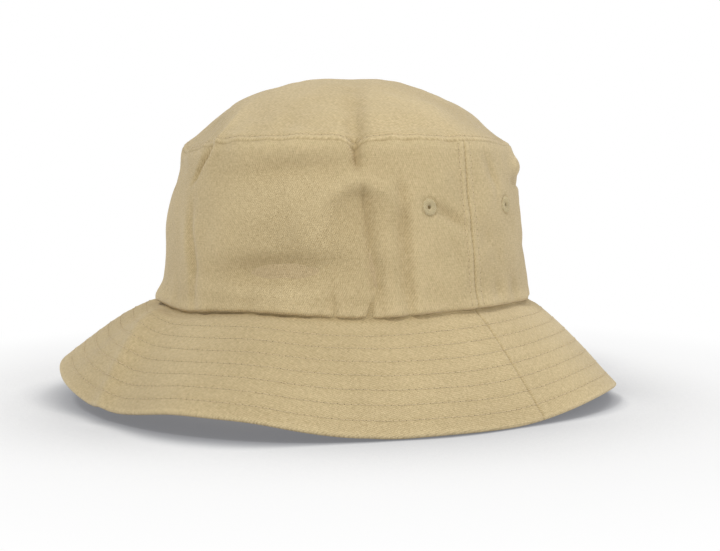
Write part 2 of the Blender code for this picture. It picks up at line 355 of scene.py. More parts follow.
    def brim(self, angle: Array, run: Array) -> Array:
        """The brim's smooth upper face; a negative run is the stand inside the crown.

        Args:
            angle: Angles of the places.
            run: Their runs.

        Returns:
            Points.
        """
        tilt = self.slope(angle)
        down = np.maximum(run, 0)
        up = np.maximum(-run, 0)
        out = down * np.cos(tilt) - self.brim_inset - self.taper * up / self.side_run
        high = self.base_z - down * np.sin(tilt) + up
        return self.place(angle, out, high + self.sag(angle) * bell(run, 20 * MM))

    def brim_outward(self, angle: Array, run: Array) -> Array:
        """The upper face's normal, in the upright plane through the axis."""
        tilt = self.brim_tilt(angle, run)
        return leaning(angle, tilt)


# ---- folds ----


class Form(Enum):
    """How a fold's height falls off from its line."""

    SOFT = "soft"
    CRISP = "crisp"
    LEAN = "lean"


@dataclass(frozen=True)
class Fold:
    """Cloth raised or sunk along a line.

    Attributes:
        path: (degrees, run in mm, strength) stops along the line.
        lift: Height on the line in mm, negative for a groove.
        width: Half width in mm.
        form: SOFT is exp(-q^2), CRISP a ridge with a pressed line, exp(-1.5 |q|), and LEAN
            raises one side and sinks the other, 1.65 q exp(-q^2), with q the distance / width.
    """

    path: tuple[tuple[float, float, float], ...]
    lift: float
    width: float
    form: Form = Form.SOFT

    def height(self, at: Array, base: Surface, outward: Surface) -> Array:
        """The fold's height at points of the smooth surface.

        The line is the stops joined on the surface; each point takes the nearest place of it.

        Args:
            at: Points, one per row.
            base: The smooth surface.
            outward: Its outward directions.

        Returns:
            Heights in metres, one per point.
        """
        stops = np.array(self.path)
        steps = np.linspace(0, len(stops) - 1, 4 * (len(stops) - 1) + 1)
        index = np.arange(len(stops))
        angle = np.radians(np.interp(steps, index, stops[:, 0]))
        run = np.interp(steps, index, stops[:, 1]) * MM
        strength = np.interp(steps, index, stops[:, 2])
        line, out = base(angle, run), outward(angle, run)
        middle = line.mean(0)
        reach = np.linalg.norm(line - middle, axis=1).max() + 4 * self.width * MM
        near = np.linalg.norm(at - middle, axis=1) < reach
        points = at[near]
        best = np.full(len(points), np.inf)
        signed, strong = np.zeros(len(points)), np.zeros(len(points))
        for start, end, low, high, up in zip(line, line[1:], strength, strength[1:], out):
            along = end - start
            share = np.clip((points - start) @ along / (along @ along), 0, 1)
            gap = points - start - share[:, None] * along
            distance = np.linalg.norm(gap, axis=1)
            closer = distance < best
            best = np.where(closer, distance, best)
            side = np.sign(gap @ np.cross(along, up))
            signed = np.where(closer, side * distance, signed)
            strong = np.where(closer, low + (high - low) * share, strong)
        q = signed / (self.width * MM)
        shape = {
            Form.SOFT: np.exp(-q * q),
            Form.CRISP: np.exp(-1.5 * (np.sqrt(q * q + 0.03) - math.sqrt(0.03))),
            Form.LEAN: 1.65 * q * np.exp(-q * q),
        }[self.form]
        result = np.zeros(len(at))
        result[near] = self.lift * MM * strong * shape
        return result


@dataclass(frozen=True)
class Dent:
    """A patch of cloth pushed in, or swelling out.

    Attributes:
        angle: Its middle, in degrees.
        run: Its middle, in mm.
        across: Half width round the hat, in mm.
        along: Half length along the run, in mm.
        lift: Height in mm, negative for a dent.
        turn: Degrees it is turned, anticlockwise seen from outside.
        flat: 1 is a bell; more gives a flatter floor and a firmer rim.
    """

    angle: float
    run: float
    across: float
    along: float
    lift: float
    turn: float = 0.0
    flat: float = 1.0

    def height(self, at: Array, base: Surface, outward: Surface) -> Array:
        """lift * exp(-((x / across)^2 + (y / along)^2)^flat), x and y in the tangent plane.

        Args:
            at: Points, one per row.
            base: The smooth surface.
            outward: Its outward directions.

        Returns:
            Heights in metres, one per point.
        """
        angle, run = np.array([math.radians(self.angle)]), np.array([self.run * MM])
        middle, out = base(angle, run)[0], outward(angle, run)[0]
        east = unit(base(angle + 0.01, run)[0] - base(angle - 0.01, run)[0])
        north = np.cross(out, east)
        gap = at - middle
        x, y, deep = gap @ east, gap @ north, gap @ out
        c, s = math.cos(math.radians(self.turn)), math.sin(math.radians(self.turn))
        x, y = c * x + s * y, c * y - s * x
        far = ((x / (self.across * MM)) ** 2 + (y / (self.along * MM)) ** 2) ** self.flat
        return self.lift * MM * np.exp(-far - (deep / (30 * MM)) ** 2)


@dataclass(frozen=True)
class Rumple:
    """The cloth's uneven hang: a seeded sum of plane waves through space.

    Attributes:
        seed: Picks the waves.
        lift: Root mean square height, in mm.
        shortest: Shortest wave, in mm.
        longest: Longest wave, in mm.
        count: How many waves are added.
    """

    seed: int
    lift: float
    shortest: float
    longest: float
    count: int = 26

    def height(self, at: Array, base: Surface, outward: Surface) -> Array:
        """The sum of cos(k . p + phase), longer waves standing higher.

        Args:
            at: Points, one per row.
            base: The smooth surface, not used.
            outward: Its outward directions, not used.

        Returns:
            Heights in metres, one per point.
        """
        picked = np.random.default_rng(self.seed)
        way = unit(picked.normal(size=(self.count, 3)))
        limits = math.log(self.shortest), math.log(self.longest)
        length = np.exp(picked.uniform(*limits, self.count)) * MM
        phase = picked.uniform(0, TURN, self.count)
        weight = (length / length.max()) ** 0.8
        waves = np.cos(at @ (way * (TURN / length)[:, None]).T + phase) * weight
        return self.lift * MM * waves.sum(1) / math.sqrt((weight**2).sum() / 2)


Relief = Fold | Dent | Rumple


@dataclass
class Skin:
    """A smooth surface with relief on it, the relief kept as a table of heights.

    Attributes:
        base: The smooth surface.
        outward: The way the relief stands.
        relief: Folds, dents and rumples.
        seams: Height of the seams' ditches, puffs and puckers, of (angle, run).
        low: Least run of the table.
        high: Greatest run of the table.
        step: Distance between the table's runs.
        turns: Places of the table in one turn.
    """

    base: Surface
    outward: Surface
    relief: tuple[Relief, ...]
    seams: Surface
    low: float
    high: float
    step: float = 0.8 * MM
    turns: int = 720

    def __post_init__(self) -> None:
        """Works out the table of the relief's heights."""
        runs = self.low + np.arange(int((self.high - self.low) / self.step) + 2) * self.step
        angles = np.arange(self.turns) * TURN / self.turns
        run, angle = np.meshgrid(runs, angles, indexing="ij")
        at = self.base(angle, run).reshape(-1, 3)
        total = sum(piece.height(at, self.base, self.outward) for piece in self.relief)
        self.table = total.reshape(angle.shape)

    def folds(self, angle: Array, run: Array) -> Array:
        """The table's height at these places, by cubic (Catmull-Rom) blending of 4 by 4 entries.

        Args:
            angle: Angles of the places.
            run: Their runs.

        Returns:
            Heights in metres.
        """
        across = np.remainder(angle, TURN) * self.turns / TURN
        up = np.clip((run - self.low) / self.step, 0, len(self.table) - 1.001)
        column, row = np.floor(across).astype(int), np.floor(up).astype(int)
        weights = [cubic_weights(across - column), cubic_weights(up - row)]
        total = np.zeros(np.shape(angle))
        for i in range(4):
            picked = np.clip(row + i - 1, 0, len(self.table) - 1)
            for j in range(4):
                entry = self.table[picked, (column + j - 1) % self.turns]
                total = total + weights[1][i] * weights[0][j] * entry
        return total

    def height(self, angle: Array, run: Array) -> Array:
        """All of the relief at these places."""
        angle, run = np.broadcast_arrays(angle, run)
        return self.folds(angle, run) + self.seams(angle, run)

    def point(self, angle: Array, run: Array, lift: Array | float = 0.0) -> Array:
        """The surface with its relief, and lift more.

        Args:
            angle: Angles of the places.
            run: Their runs.
            lift: Height added.

        Returns:
            Points.
        """
        angle, run = np.broadcast_arrays(angle, run)
        high = self.height(angle, run) + lift
        return self.base(angle, run) + self.outward(angle, run) * high[..., None]


def cubic_weights(share: Array) -> tuple[Array, Array, Array, Array]:
    """Catmull-Rom weights of four entries in a row, for a place share past the second.

    Args:
        share: 0 for the first, 1 for the second.

    Returns:
        The four weights.
    """
    t, t2, t3 = share, share**2, share**3
    return (
        (-t3 + 2 * t2 - t) / 2,
        (3 * t3 - 5 * t2 + 2) / 2,
        (-3 * t3 + 4 * t2 + t) / 2,
        (t3 - t2) / 2,
    )


def frames_on(surface: Surface, angle: Array, run: Array) -> tuple[Array, Array, Array, Array]:
    """Points of a surface with its directions, by central differences.

    Args:
        surface: Gives points of (angle, run).
        angle: Angles of the places.
        run: Runs of the places.

    Returns:
        The points, the unit ways of growing angle and of growing run, and their unit normal.
    """
    small_angle, small_run = 0.004, 0.3 * MM
    east = unit(surface(angle + small_angle, run) - surface(angle - small_angle, run))
    north = unit(surface(angle, run + small_run) - surface(angle, run - small_run))
    return surface(angle, run), east, north, unit(np.cross(east, north))


# ---- meshes ----


def new_piece(
    name: str,
    points: Array,
    faces: list[Array],
    weave: list[Array],
    wear_and_painted_light: Array | None = None,
) -> bpy.types.Object:
    """Puts arrays into a smooth-shaded mesh object.

    Args:
        name: The piece's name.
        points: Vertices.
        faces: Blocks of faces, each block with one number of corners.
        weave: For each block, the map place of every corner, in metres.
        wear_and_painted_light: A value per vertex, under 0 for painted shade in ditches and over 0
            for painted highlight on edges.

    Returns:
        The object, linked to the scene.
    """
    mesh = bpy.data.meshes.new(name)
    mesh.from_pydata(points.tolist(), [], [face for block in faces for face in block.tolist()])
    layer = mesh.uv_layers.new(name=WEAVE)
    corners = np.concatenate([block.reshape(-1, 2) for block in weave])
    layer.data.foreach_set("uv", corners.astype(np.float32).ravel())
    values = np.zeros(len(points)) if wear_and_painted_light is None else wear_and_painted_light
    mesh.attributes.new(WEAR_AND_PAINTED_LIGHT, "FLOAT", "POINT").data.foreach_set("value", values.astype(np.float32))
    mesh.shade_smooth()
    mesh.set_sharp_from_angle(angle=SHARP)
    made = bpy.data.objects.new(name, mesh)
    bpy.context.scene.collection.objects.link(made)
    return made


def grid_normals(points: Array, ring: bool) -> Array:
    """Unit normals of a grid, the cross product of the ways along its columns and its rows.

    Args:
        points: Points, rows by columns by 3.
        ring: The last column joins the first.

    Returns:
        Unit normals.
    """
    if ring:
        across = np.roll(points, -1, 1) - np.roll(points, 1, 1)
    else:
        across = np.gradient(points, axis=1)
    return unit(np.cross(across, np.gradient(points, axis=0)))


def grid_quads(number: Array) -> Array:
    """The quads between the numbers of a grid."""
    corners = [number[:-1, :-1], number[:-1, 1:], number[1:, 1:], number[1:, :-1]]
    return np.stack(corners, -1).reshape(-1, 4)


@dataclass
class Cloth:
    """A piece of cloth as a grid of points over (row, column), which becomes a closed thin shell.

    Attributes:
        points: Its outer face, rows by columns by 3.
        weave: Map places in metres, with one more column than points where the grid is a ring.
        thickness: Of the cloth.
        ring: The last column joins the first.
        flip: The outer face is the other side of the grid.
        pole: The last row is one point.
        holes: Quads left out, rows - 1 by columns.
        wear_and_painted_light: A value per point that darkens or lightens the colour, painted shade
            and painted highlight on the hat's cloth.
    """

    points: Array
    weave: Array
    thickness: float
    ring: bool = False
    flip: bool = False
    pole: bool = False
    holes: Array | None = None
    wear_and_painted_light: Array | None = None

    def build(self, name: str) -> bpy.types.Object:
        """Closes the shell: the outer face, the inner face a thickness in along the normals, and a
        strip between them along every open edge.

        Args:
            name: The piece's name.

        Returns:
            The object.
        """
        rows, columns = self.points.shape[:2]
        normals = grid_normals(self.points, self.ring) * (-1 if self.flip else 1)
        if self.pole:
            normals[-1] = unit(normals[-2].sum(0))
        inner = self.points - normals * self.thickness
        number = np.arange(rows * columns).reshape(rows, columns)
        spread = self.weave.shape[1]
        mapped = np.arange(rows * spread).reshape(rows, spread)
        if self.ring:
            number = np.concatenate([number, number[:, :1]], 1)
        quads, uv = self.quads_of(number), self.quads_of(mapped)
        if self.holes is not None:
            kept = ~self.holes.ravel()
            quads, uv = quads[kept], uv[kept]
        edges, edge_uv = (
            np.concatenate([face[:, [corner, (corner + 1) % 4]] for corner in range(4)])
            for face in (quads, uv)
        )
        count = rows * columns
        forward = edges[:, 0] * count + edges[:, 1]
        lone = ~np.isin(forward, edges[:, 1] * count + edges[:, 0])
        edges, edge_uv = edges[lone], edge_uv[lone]
        rim = edges[:, [1, 0, 0, 1]] + np.array([0, 0, count, count])
        rim_uv = edge_uv[:, [1, 0, 0, 1]]
        places = self.weave.reshape(-1, 2)
        wear_and_painted_light = None if self.wear_and_painted_light is None else np.tile(self.wear_and_painted_light.ravel(), 2)
        made = new_piece(
            name,
            np.concatenate([self.points.reshape(-1, 3), inner.reshape(-1, 3)]),
            [quads, quads[:, ::-1] + count, rim],
            [places[uv], places[uv[:, ::-1]], places[rim_uv]],
            wear_and_painted_light,
        )
        return reshaped(made, merge_points)

    def quads_of(self, number: Array) -> Array:
        """The grid's quads, turned to face outwards."""
        quads = grid_quads(number)
        return quads[:, ::-1] if self.flip else quads


def reshaped(
    piece: bpy.types.Object, change: Callable[[bmesh.types.BMesh], None]
) -> bpy.types.Object:
    """Edits a piece's mesh.

    Args:
        piece: A mesh object.
        change: What is done to the mesh.

    Returns:
        The same object.
    """
    shape = bmesh.new()
    shape.from_mesh(piece.data)
    change(shape)
    shape.to_mesh(piece.data)
    shape.free()
    return piece


def merge_points(shape: bmesh.types.BMesh) -> None:
    """Merges points that coincide, as at a pole, and drops what no face uses.

    Args:
        shape: The mesh.
    """
    bmesh.ops.remove_doubles(shape, verts=shape.verts[:], dist=1e-7)
    loose = [vert for vert in shape.verts if not vert.link_faces]
    bmesh.ops.delete(shape, geom=loose, context="VERTS")


def turn_out(shape: bmesh.types.BMesh) -> None:
    """Turns a closed mesh's faces outwards."""
    if shape.calc_volume(signed=True) < 0:
        bmesh.ops.reverse_faces(shape, faces=shape.faces[:])


def tube(
    name: str, points: Array, weave: Array, wear_and_painted_light: Array | None = None
) -> bpy.types.Object:
    """A closed section carried round: columns are the section's points, rows follow the path.

    Args:
        name: The piece's name.
        points: Rows by columns by 3; both close on themselves.
        weave: Map places, rows + 1 by columns + 1 by 2.
        wear_and_painted_light: A value per point that darkens or lightens the colour, painted shade
            and painted highlight on the hat's cloth.

    Returns:
        The object.
    """
    rows, columns = points.shape[:2]
    number = np.pad(np.arange(rows * columns).reshape(rows, columns), (0, 1), mode="wrap")
    mapped = np.arange(weave.shape[0] * weave.shape[1]).reshape(weave.shape[:2])
    places = weave.reshape(-1, 2)[grid_quads(mapped)]
    values = None if wear_and_painted_light is None else wear_and_painted_light.ravel()
    made = new_piece(name, points.reshape(-1, 3), [grid_quads(number)], [places], values)
    return reshaped(made, turn_out)


def capsules(sections: Array, sides: int) -> tuple[Array, Array, Array]:
    """A short thread as a template: rings of points along x, each ring an even polygon.

    Args:
        sections: One (x, height, radius) row per ring.
        sides: Points in a ring, 4 or 6.

    Returns:
        The points, the quads between rings and over both ends, and each point's map place.
    """
    turn = np.arange(sides) * TURN / sides
    x, high, radius = (sections[:, i][:, None] for i in range(3))
    points = np.stack(
        np.broadcast_arrays(x, radius * np.cos(turn), high + radius * np.sin(turn)), -1
    ).reshape(-1, 3)
    number = np.arange(len(points)).reshape(-1, sides)
    following = np.roll(number, -1, 1)
    walls = np.stack([number[:-1], following[:-1], following[1:], number[1:]], -1).reshape(-1, 4)
    halves = [[0, 1, 2, 3]] if sides == 4 else [[0, 1, 2, 3], [0, 3, 4, 5]]
    ends = [number[0][half][::-1] for half in halves] + [number[-1][half] for half in halves]
    places = np.stack(np.broadcast_arrays(x, radius * turn), -1).reshape(-1, 2)
    return points, np.concatenate([walls, np.array(ends)]), places


# ---- stitching ----


@dataclass(frozen=True)
class Lockstitch:
    """A row of machine stitches: arched threads end to end, with a dark bead at each joint as the
    needle hole's painted shade.

    Attributes:
        pitch: Length of one stitch.
        thread: Radius of the thread.
        seed: Picks the small unevenness.
    """

    pitch: float = 3.0 * MM
    thread: float = 0.24 * MM
    seed: int = 5

    def row(
        self, surface: Surface, angle: Array, run: Array, out: float, closed: bool
    ) -> tuple[Array, ...]:
        """Even places along a line on a surface.

        Args:
            surface: Gives points of (angle, run).
            angle: Angles of the line, close together.
            run: Its runs.
            out: 1 where the thread lies on the side of the surface's normal, -1 on the other.
            closed: The line closes on itself.

        Returns:
            Middles, ways along the row, ways across it and normals of the stitches, then the
            same four of the needle holes.
        """
        length = running_length(surface(angle, run))
        count = max(int(round(length[-1] / self.pitch)), 1)
        found: list[Array] = []
        for offset in (0.5, 0.0):
            last = 0 if closed or offset else 1
            marks = (np.arange(count + last) + offset) * length[-1] / count
            step = 0.3 * length[-1] / count
            behind, at, ahead = (
                (np.interp(marks + shift, length, angle), np.interp(marks + shift, length, run))
                for shift in (-step, 0, step)
            )
            middle, _, _, normal = frames_on(surface, *at)
            along = unit(surface(*ahead) - surface(*behind))
            normal = unit(normal - (normal * along).sum(1)[:, None] * along) * out
            found += [middle, along, np.cross(normal, along), normal]
        return tuple(found)

    def build(self, name: str, rows: list[tuple[Array, ...]]) -> bpy.types.Object:
        """Lays the thread and the needle holes of these rows as one piece.

        Args:
            name: The piece's name.
            rows: What row() gave for each row.

        Returns:
            The object; its second material is the holes' painted shade.
        """
        picked = np.random.default_rng(self.seed)
        half = self.pitch / 2
        arch = np.array([
            [-0.93 * half, -0.16 * MM, 0.55 * self.thread],
            [-0.62 * half, 0.03 * MM, 0.95 * self.thread],
            [0, 0.10 * MM, 1.05 * self.thread],
            [0.62 * half, 0.03 * MM, 0.95 * self.thread],
            [0.93 * half, -0.16 * MM, 0.55 * self.thread],
        ])
        # A small dark bead sunk in the cloth, painted shade standing for the needle hole.
        hole = np.array([
            [-0.34 * MM, -0.10 * MM, 0.14 * MM],
            [0, -0.06 * MM, 0.22 * MM],
            [0.34 * MM, -0.10 * MM, 0.14 * MM],
        ])
        points, faces, weave, kinds = [], [], [], []
        base = 0
        for row in rows:
            for kind, (template, sides) in enumerate(((arch, 6), (hole, 4))):
                middle, along, across, normal = row[4 * kind : 4 * kind + 4]
                local, quads, places = capsules(template, sides)
                count = len(middle)
                stretch = 1 + picked.normal(0, 0.04, (count, 1))
                sway = picked.normal(0, 0.05, (count, 1))
                x = local[None, :, 0] * stretch
                y = local[None, :, 1] + x * sway
                laid = (
                    middle[:, None]
                    + along[:, None] * x[..., None]
                    + across[:, None] * y[..., None]
                    + normal[:, None] * np.broadcast_to(local[None, :, 2], x.shape)[..., None]
                )
                points.append(laid.reshape(-1, 3))
                offsets = base + np.arange(count)[:, None, None] * len(local)
                faces.append((quads[None] + offsets).reshape(-1, 4))
                weave.append(np.tile(places[quads], (count, 1, 1)))
                kinds.append(np.full(count * len(quads), kind))
                base += laid.shape[0] * laid.shape[1]
        made = new_piece(name, np.concatenate(points), faces, weave)
        made.data.polygons.foreach_set("material_index", np.concatenate(kinds).astype(np.int32))
        return made


# ---- finishes ----


class Graph:
    """The nodes of one material, added and joined in a few words."""

    def __init__(self, name: str) -> None:
        """Starts a material with its Principled shader.

        Args:
            name: The material's name.
        """
        self.material = bpy.data.materials.new(name)
        self.material.use_nodes = True
        self.tree = self.material.node_tree
        self.shader = self.tree.nodes["Principled BSDF"]

    def add(self, kind: str, **settings: object) -> bpy.types.Node:
        """Adds a node and sets its properties.

        Args:
            kind: The node's type without its ShaderNode prefix.
            **settings: Properties by name.

        Returns:
            The node.
        """
        node = self.tree.nodes.new("ShaderNode" + kind)
        for name, value in settings.items():
            setattr(node, name, value)
        return node

    def put(self, socket: bpy.types.NodeSocket, value: object) -> None:
        """Joins a socket to another node's output, or sets it to a plain value.

        Args:
            socket: An input.
            value: An output, or a value.
        """
        if isinstance(value, bpy.types.NodeSocket):
            self.tree.links.new(value, socket)
        else:
            socket.default_value = value

    def math(self, operation: str, *values: object) -> bpy.types.NodeSocket:
        """A Math node's result of these sockets or numbers.

        Args:
            operation: The node's operation.
            *values: Sockets or numbers.

        Returns:
            The result's socket.
        """
        node = self.add("Math", operation=operation)
        for socket, value in zip(node.inputs, values):
            self.put(socket, value)
        return node.outputs[0]

    def total(self, *terms: tuple[object, float]) -> bpy.types.NodeSocket:
        """The sum of each value times its number.

        Args:
            *terms: (value, number) pairs.

        Returns:
            The sum's socket.
        """
        summed: object = 0.0
        for value, times in terms:
            summed = self.math("MULTIPLY_ADD", value, times, summed)
        return summed

    def weave(self) -> bpy.types.NodeSocket:
        """The piece's own map, in metres."""
        return self.add("UVMap", uv_map=WEAVE).outputs["UV"]

    def wave(
        self, place: object, period: float, turn: float, drift: object = 0.0
    ) -> bpy.types.NodeSocket:
        """Straight ribs from -1 to 1 across a map.

        Args:
            place: Map places.
            period: Distance between ribs.
            turn: The way across the ribs, in degrees.
            drift: Added to the phase.

        Returns:
            sin(2 pi (x cos(turn) + y sin(turn)) / period + drift).
        """
        dot = self.add("VectorMath", operation="DOT_PRODUCT")
        self.put(dot.inputs[0], place)
        way = math.radians(turn)
        pace = TURN / period
        dot.inputs[1].default_value = (pace * math.cos(way), pace * math.sin(way), 0)
        return self.math("SINE", self.math("ADD", dot.outputs["Value"], drift))

    def noise(
        self, place: object, scale: tuple[float, float, float], detail: float = 2.0
    ) -> bpy.types.NodeSocket:
        """Noise about zero, from a place stretched by scale.

        Args:
            place: Map places.
            scale: Waves per metre each way.
            detail: Finer waves added.

        Returns:
            Values from -0.5 to 0.5.
        """
        stretched = self.add("Mapping")
        self.put(stretched.inputs["Vector"], place)
        stretched.inputs["Scale"].default_value = scale
        node = self.add("TexNoise")
        self.put(node.inputs["Vector"], stretched.outputs["Vector"])
        node.inputs["Scale"].default_value = 1
        node.inputs["Detail"].default_value = detail
        return self.math("SUBTRACT", node.outputs["Fac"], 0.5)

    def mixed(self, share: object, low: object, high: object) -> bpy.types.NodeSocket:
        """A colour between low and high, each a Colour or another node's output.

        Args:
            share: How much of high.
            low: The colour at 0.
            high: The colour at 1.

        Returns:
            The colour's socket.
        """
        node = self.add("Mix", data_type="RGBA", clamp_factor=True)
        self.put(node.inputs["Factor"], share)
        for name, value in (("A", low), ("B", high)):
            self.put(node.inputs[name], (*value, 1) if isinstance(value, tuple) else value)
        return node.outputs["Result"]

    def blend(self, share: object, first: object, second: object) -> bpy.types.NodeSocket:
        """A mix of two shaders.

        Args:
            share: How much of the second.
            first: The shader at 0.
            second: The shader at 1.

        Returns:
            The mixed shader's socket.
        """
        node = self.add("MixShader")
        for socket, value in zip(node.inputs, (share, first, second)):
            self.put(socket, value)
        return node.outputs[0]

    def bump(self, height: object, strength: float, distance: float) -> None:
        """Raises the surface by a height times a distance.

        Args:
            height: Heights of the relief there.
            strength: Strength of the bump.
            distance: The height that 1 stands for.
        """
        node = self.add("Bump")
        self.put(node.inputs["Height"], height)
        node.inputs["Strength"].default_value = strength
        node.inputs["Distance"].default_value = distance
        self.put(self.shader.inputs["Normal"], node.outputs["Normal"])

    def even(self, **values: object) -> None:
        """Sets the shader's own sockets; an underscore stands for a space."""
        for name, value in values.items():
            self.shader.inputs[name.replace("_", " ")].default_value = value


@dataclass(frozen=True)
class Ribs:
    """Straight ribs on a piece's map.

    Attributes:
        period: Distance between ribs.
        turn: The way across them, in degrees.
        tint, rise, rough: Weights in the colour, the height and the roughness.
        drift: How far noise moves their phase.
    """

    period: float
    turn: float
    tint: float
    rise: float
    rough: float = 0.0
    drift: float = 0.0

    def value(self, graph: Graph, place: object) -> bpy.types.NodeSocket:
        """The ribs, from -1 to 1.

        Args:
            graph: The material's nodes.
            place: Map places.

        Returns:
            The layer's socket.
        """
        if not self.drift:
            return graph.wave(place, self.period, self.turn)
        drift = graph.math("MULTIPLY", graph.noise(place, (900, 900, 900), 1.0), self.drift)
        return graph.wave(place, self.period, self.turn, drift)


@dataclass(frozen=True)
class Grain:
    """Noise on a piece's map, drawn out along its yarns.

    Attributes:
        scale: Waves per metre each way.
        tint, rise, rough: Weights in the colour, the height and the roughness.
        detail: Finer waves added.
    """

    scale: tuple[float, float, float]
    tint: float
    rise: float = 0.0
    rough: float = 0.0
    detail: float = 2.0

    def value(self, graph: Graph, place: object) -> bpy.types.NodeSocket:
        """The noise, about zero."""
        return graph.noise(place, self.scale, self.detail)


@dataclass(frozen=True)
class ClothFinish:
    """Woven, spun or pressed fibre: layers of ribs and grain, darker with painted shade and lighter
    with painted highlight.

    Attributes:
        name: The material's name.
        deep, light: Colours in the shade of the yarns and on their crowns.
        layers: What the colour, the height and the roughness are added up from.
        rough: Roughness without the layers.
        bump: Strength and distance of the height.
        specular, sheen, sheen_rough: The shader's own numbers.
        tint: Share of the light colour without the layers.
        wear_and_painted_light, wear_and_painted_light_rough: Weights of the painted shade and
        highlight in the colour and the roughness.
    """

    name: str
    deep: Colour
    light: Colour
    layers: tuple[Ribs | Grain, ...]
    rough: float
    bump: tuple[float, float]
    specular: float
    sheen: float = 0.0
    sheen_rough: float = 0.5
    tint: float = 0.5
    wear_and_painted_light: float = 0.0
    wear_and_painted_light_rough: float = 0.0

    def material(self) -> bpy.types.Material:
        """Builds the node tree.

        Returns:
            The material.
        """
        graph = Graph(self.name)
        place = graph.weave()
        values = [layer.value(graph, place) for layer in self.layers]
        tint, rise, rough = (
            [(value, weight) for value, weight in zip(values, weights) if weight]
            for weights in zip(*((layer.tint, layer.rise, layer.rough) for layer in self.layers))
        )
        # The per-point attribute darkens the colour as painted shade below 0 and lightens it as
        # painted highlight above 0.
        if self.wear_and_painted_light:
            highlight_and_wear = graph.add("Attribute", attribute_name=WEAR_AND_PAINTED_LIGHT).outputs["Fac"]
            tint.append((highlight_and_wear, self.wear_and_painted_light))
            rough.append((highlight_and_wear, self.wear_and_painted_light_rough))
        share = graph.total(*tint, (1.0, self.tint))
        sockets = graph.shader.inputs
        graph.put(sockets["Base Color"], graph.mixed(share, self.deep, self.light))
        graph.put(sockets["Roughness"], graph.total(*rough, (1.0, self.rough)))
        graph.bump(graph.total(*rise), *self.bump)
        graph.even(
            Specular_IOR_Level=self.specular,
            Sheen_Weight=self.sheen,
            Sheen_Roughness=self.sheen_rough,
        )
        return graph.material


def twill(name: str, deep: Colour, light: Colour, lean: float = -28.0) -> bpy.types.Material:
    """Cotton twill: diagonal wales that lean, slubby warp and weft, and clouded dye.

    Args:
        name: The material's name.
        deep: Colour in the shade of the yarns.
        light: Colour on their crowns.
        lean: The way across the wales, in degrees.

    Returns:
        The material.
    """
    layers = (
        Ribs(0.9 * MM, lean, 0.17, 0.45, drift=3.2),
        Grain((2100, 380, 1), 1.0, 1.0),
        Grain((330, 1900, 1), 0.8, 0.8),
        Grain((760, 760, 760), 0.8, 0.6, 0.12, 3.0),
        Grain((26, 26, 26), 0.5, detail=3.0),
    )
    bump = (0.6, 0.24 * MM)
    highlight_and_wear = {"wear_and_painted_light": 0.36, "wear_and_painted_light_rough": -0.04}
    return ClothFinish(name, deep, light, layers, 0.86, bump, 0.22, 0.2, **highlight_and_wear).material()


def thread(name: str, deep: Colour, light: Colour, twist: float = 0.55 * MM) -> bpy.types.Material:
    """Spun sewing thread: plies twisted round each other, and a little fuzz.

    Args:
        name: The material's name.
        deep: Colour in the shade of the yarns.
        light: Colour on their crowns.
        twist: Length of one turn of the plies.

    Returns:
        The material.
    """
    layers = (Ribs(twist, 35, 0.28, 1.0), Grain((2600, 2600, 1), 0.6, 0.5, 0.15))
    bump = (0.5, 0.08 * MM)
    return ClothFinish(name, deep, light, layers, 0.72, bump, 0.3, 0.15, 0.4).material()


def tape(name: str, deep: Colour, light: Colour, rib: float = 0.8 * MM) -> bpy.types.Material:
    """Plain-woven binding: fine cross ribs, closer yarns along it and a firm selvedge.

    Args:
        name: The material's name.
        deep: Colour in the shade of the yarns.
        light: Colour on their crowns.
        rib: Distance between the ribs.

    Returns:
        The material.
    """
    layers = (
        Ribs(rib, 0, 0.14, 1.0),
        Ribs(rib * 0.62, 90, 0.08, 0.5),
        Grain((500, 1800, 1), 0.7, 0.6, 0.15),
        Grain((60, 60, 1), 0.5, detail=3.0),
    )
    bump = (0.4, 0.16 * MM)
    return ClothFinish(name, deep, light, layers, 0.84, bump, 0.22, 0.15, wear_and_painted_light=0.4).material()


def felt(name: str, deep: Colour, light: Colour) -> bpy.types.Material:
    """Bonded stiffener: pressed fibres lying every way.

    Args:
        name: The material's name.
        deep: Colour in the shade of the yarns.
        light: Colour on their crowns.

    Returns:
        The material.
    """
    layers = (
        Grain((1500, 260, 1), 0.9, 1.0, 0.1, 4.0),
        Grain((260, 1500, 1), 0.9, 1.0, detail=4.0),
    )
    return ClothFinish(name, deep, light, layers, 0.92, (0.3, 0.15 * MM), 0.15).material()


def satin(name: str, deep: Colour, light: Colour) -> bpy.types.Material:
    """Woven satin: close bright floats across, with fused edges.

    Args:
        name: The material's name.
        deep: Colour in the shade of the yarns.
        light: Colour on their crowns.

    Returns:
        The material.
    """
    layers = (Ribs(0.45 * MM, 90, 0.18, 1.0), Grain((300, 2400, 1), 0.8, 0.6, 0.2))
    bump = (0.3, 0.08 * MM)
    finish = ClothFinish(name, deep, light, layers, 0.48, bump, 0.45, 0.1, tint=0.6, wear_and_painted_light=0.8)
    return finish.material()


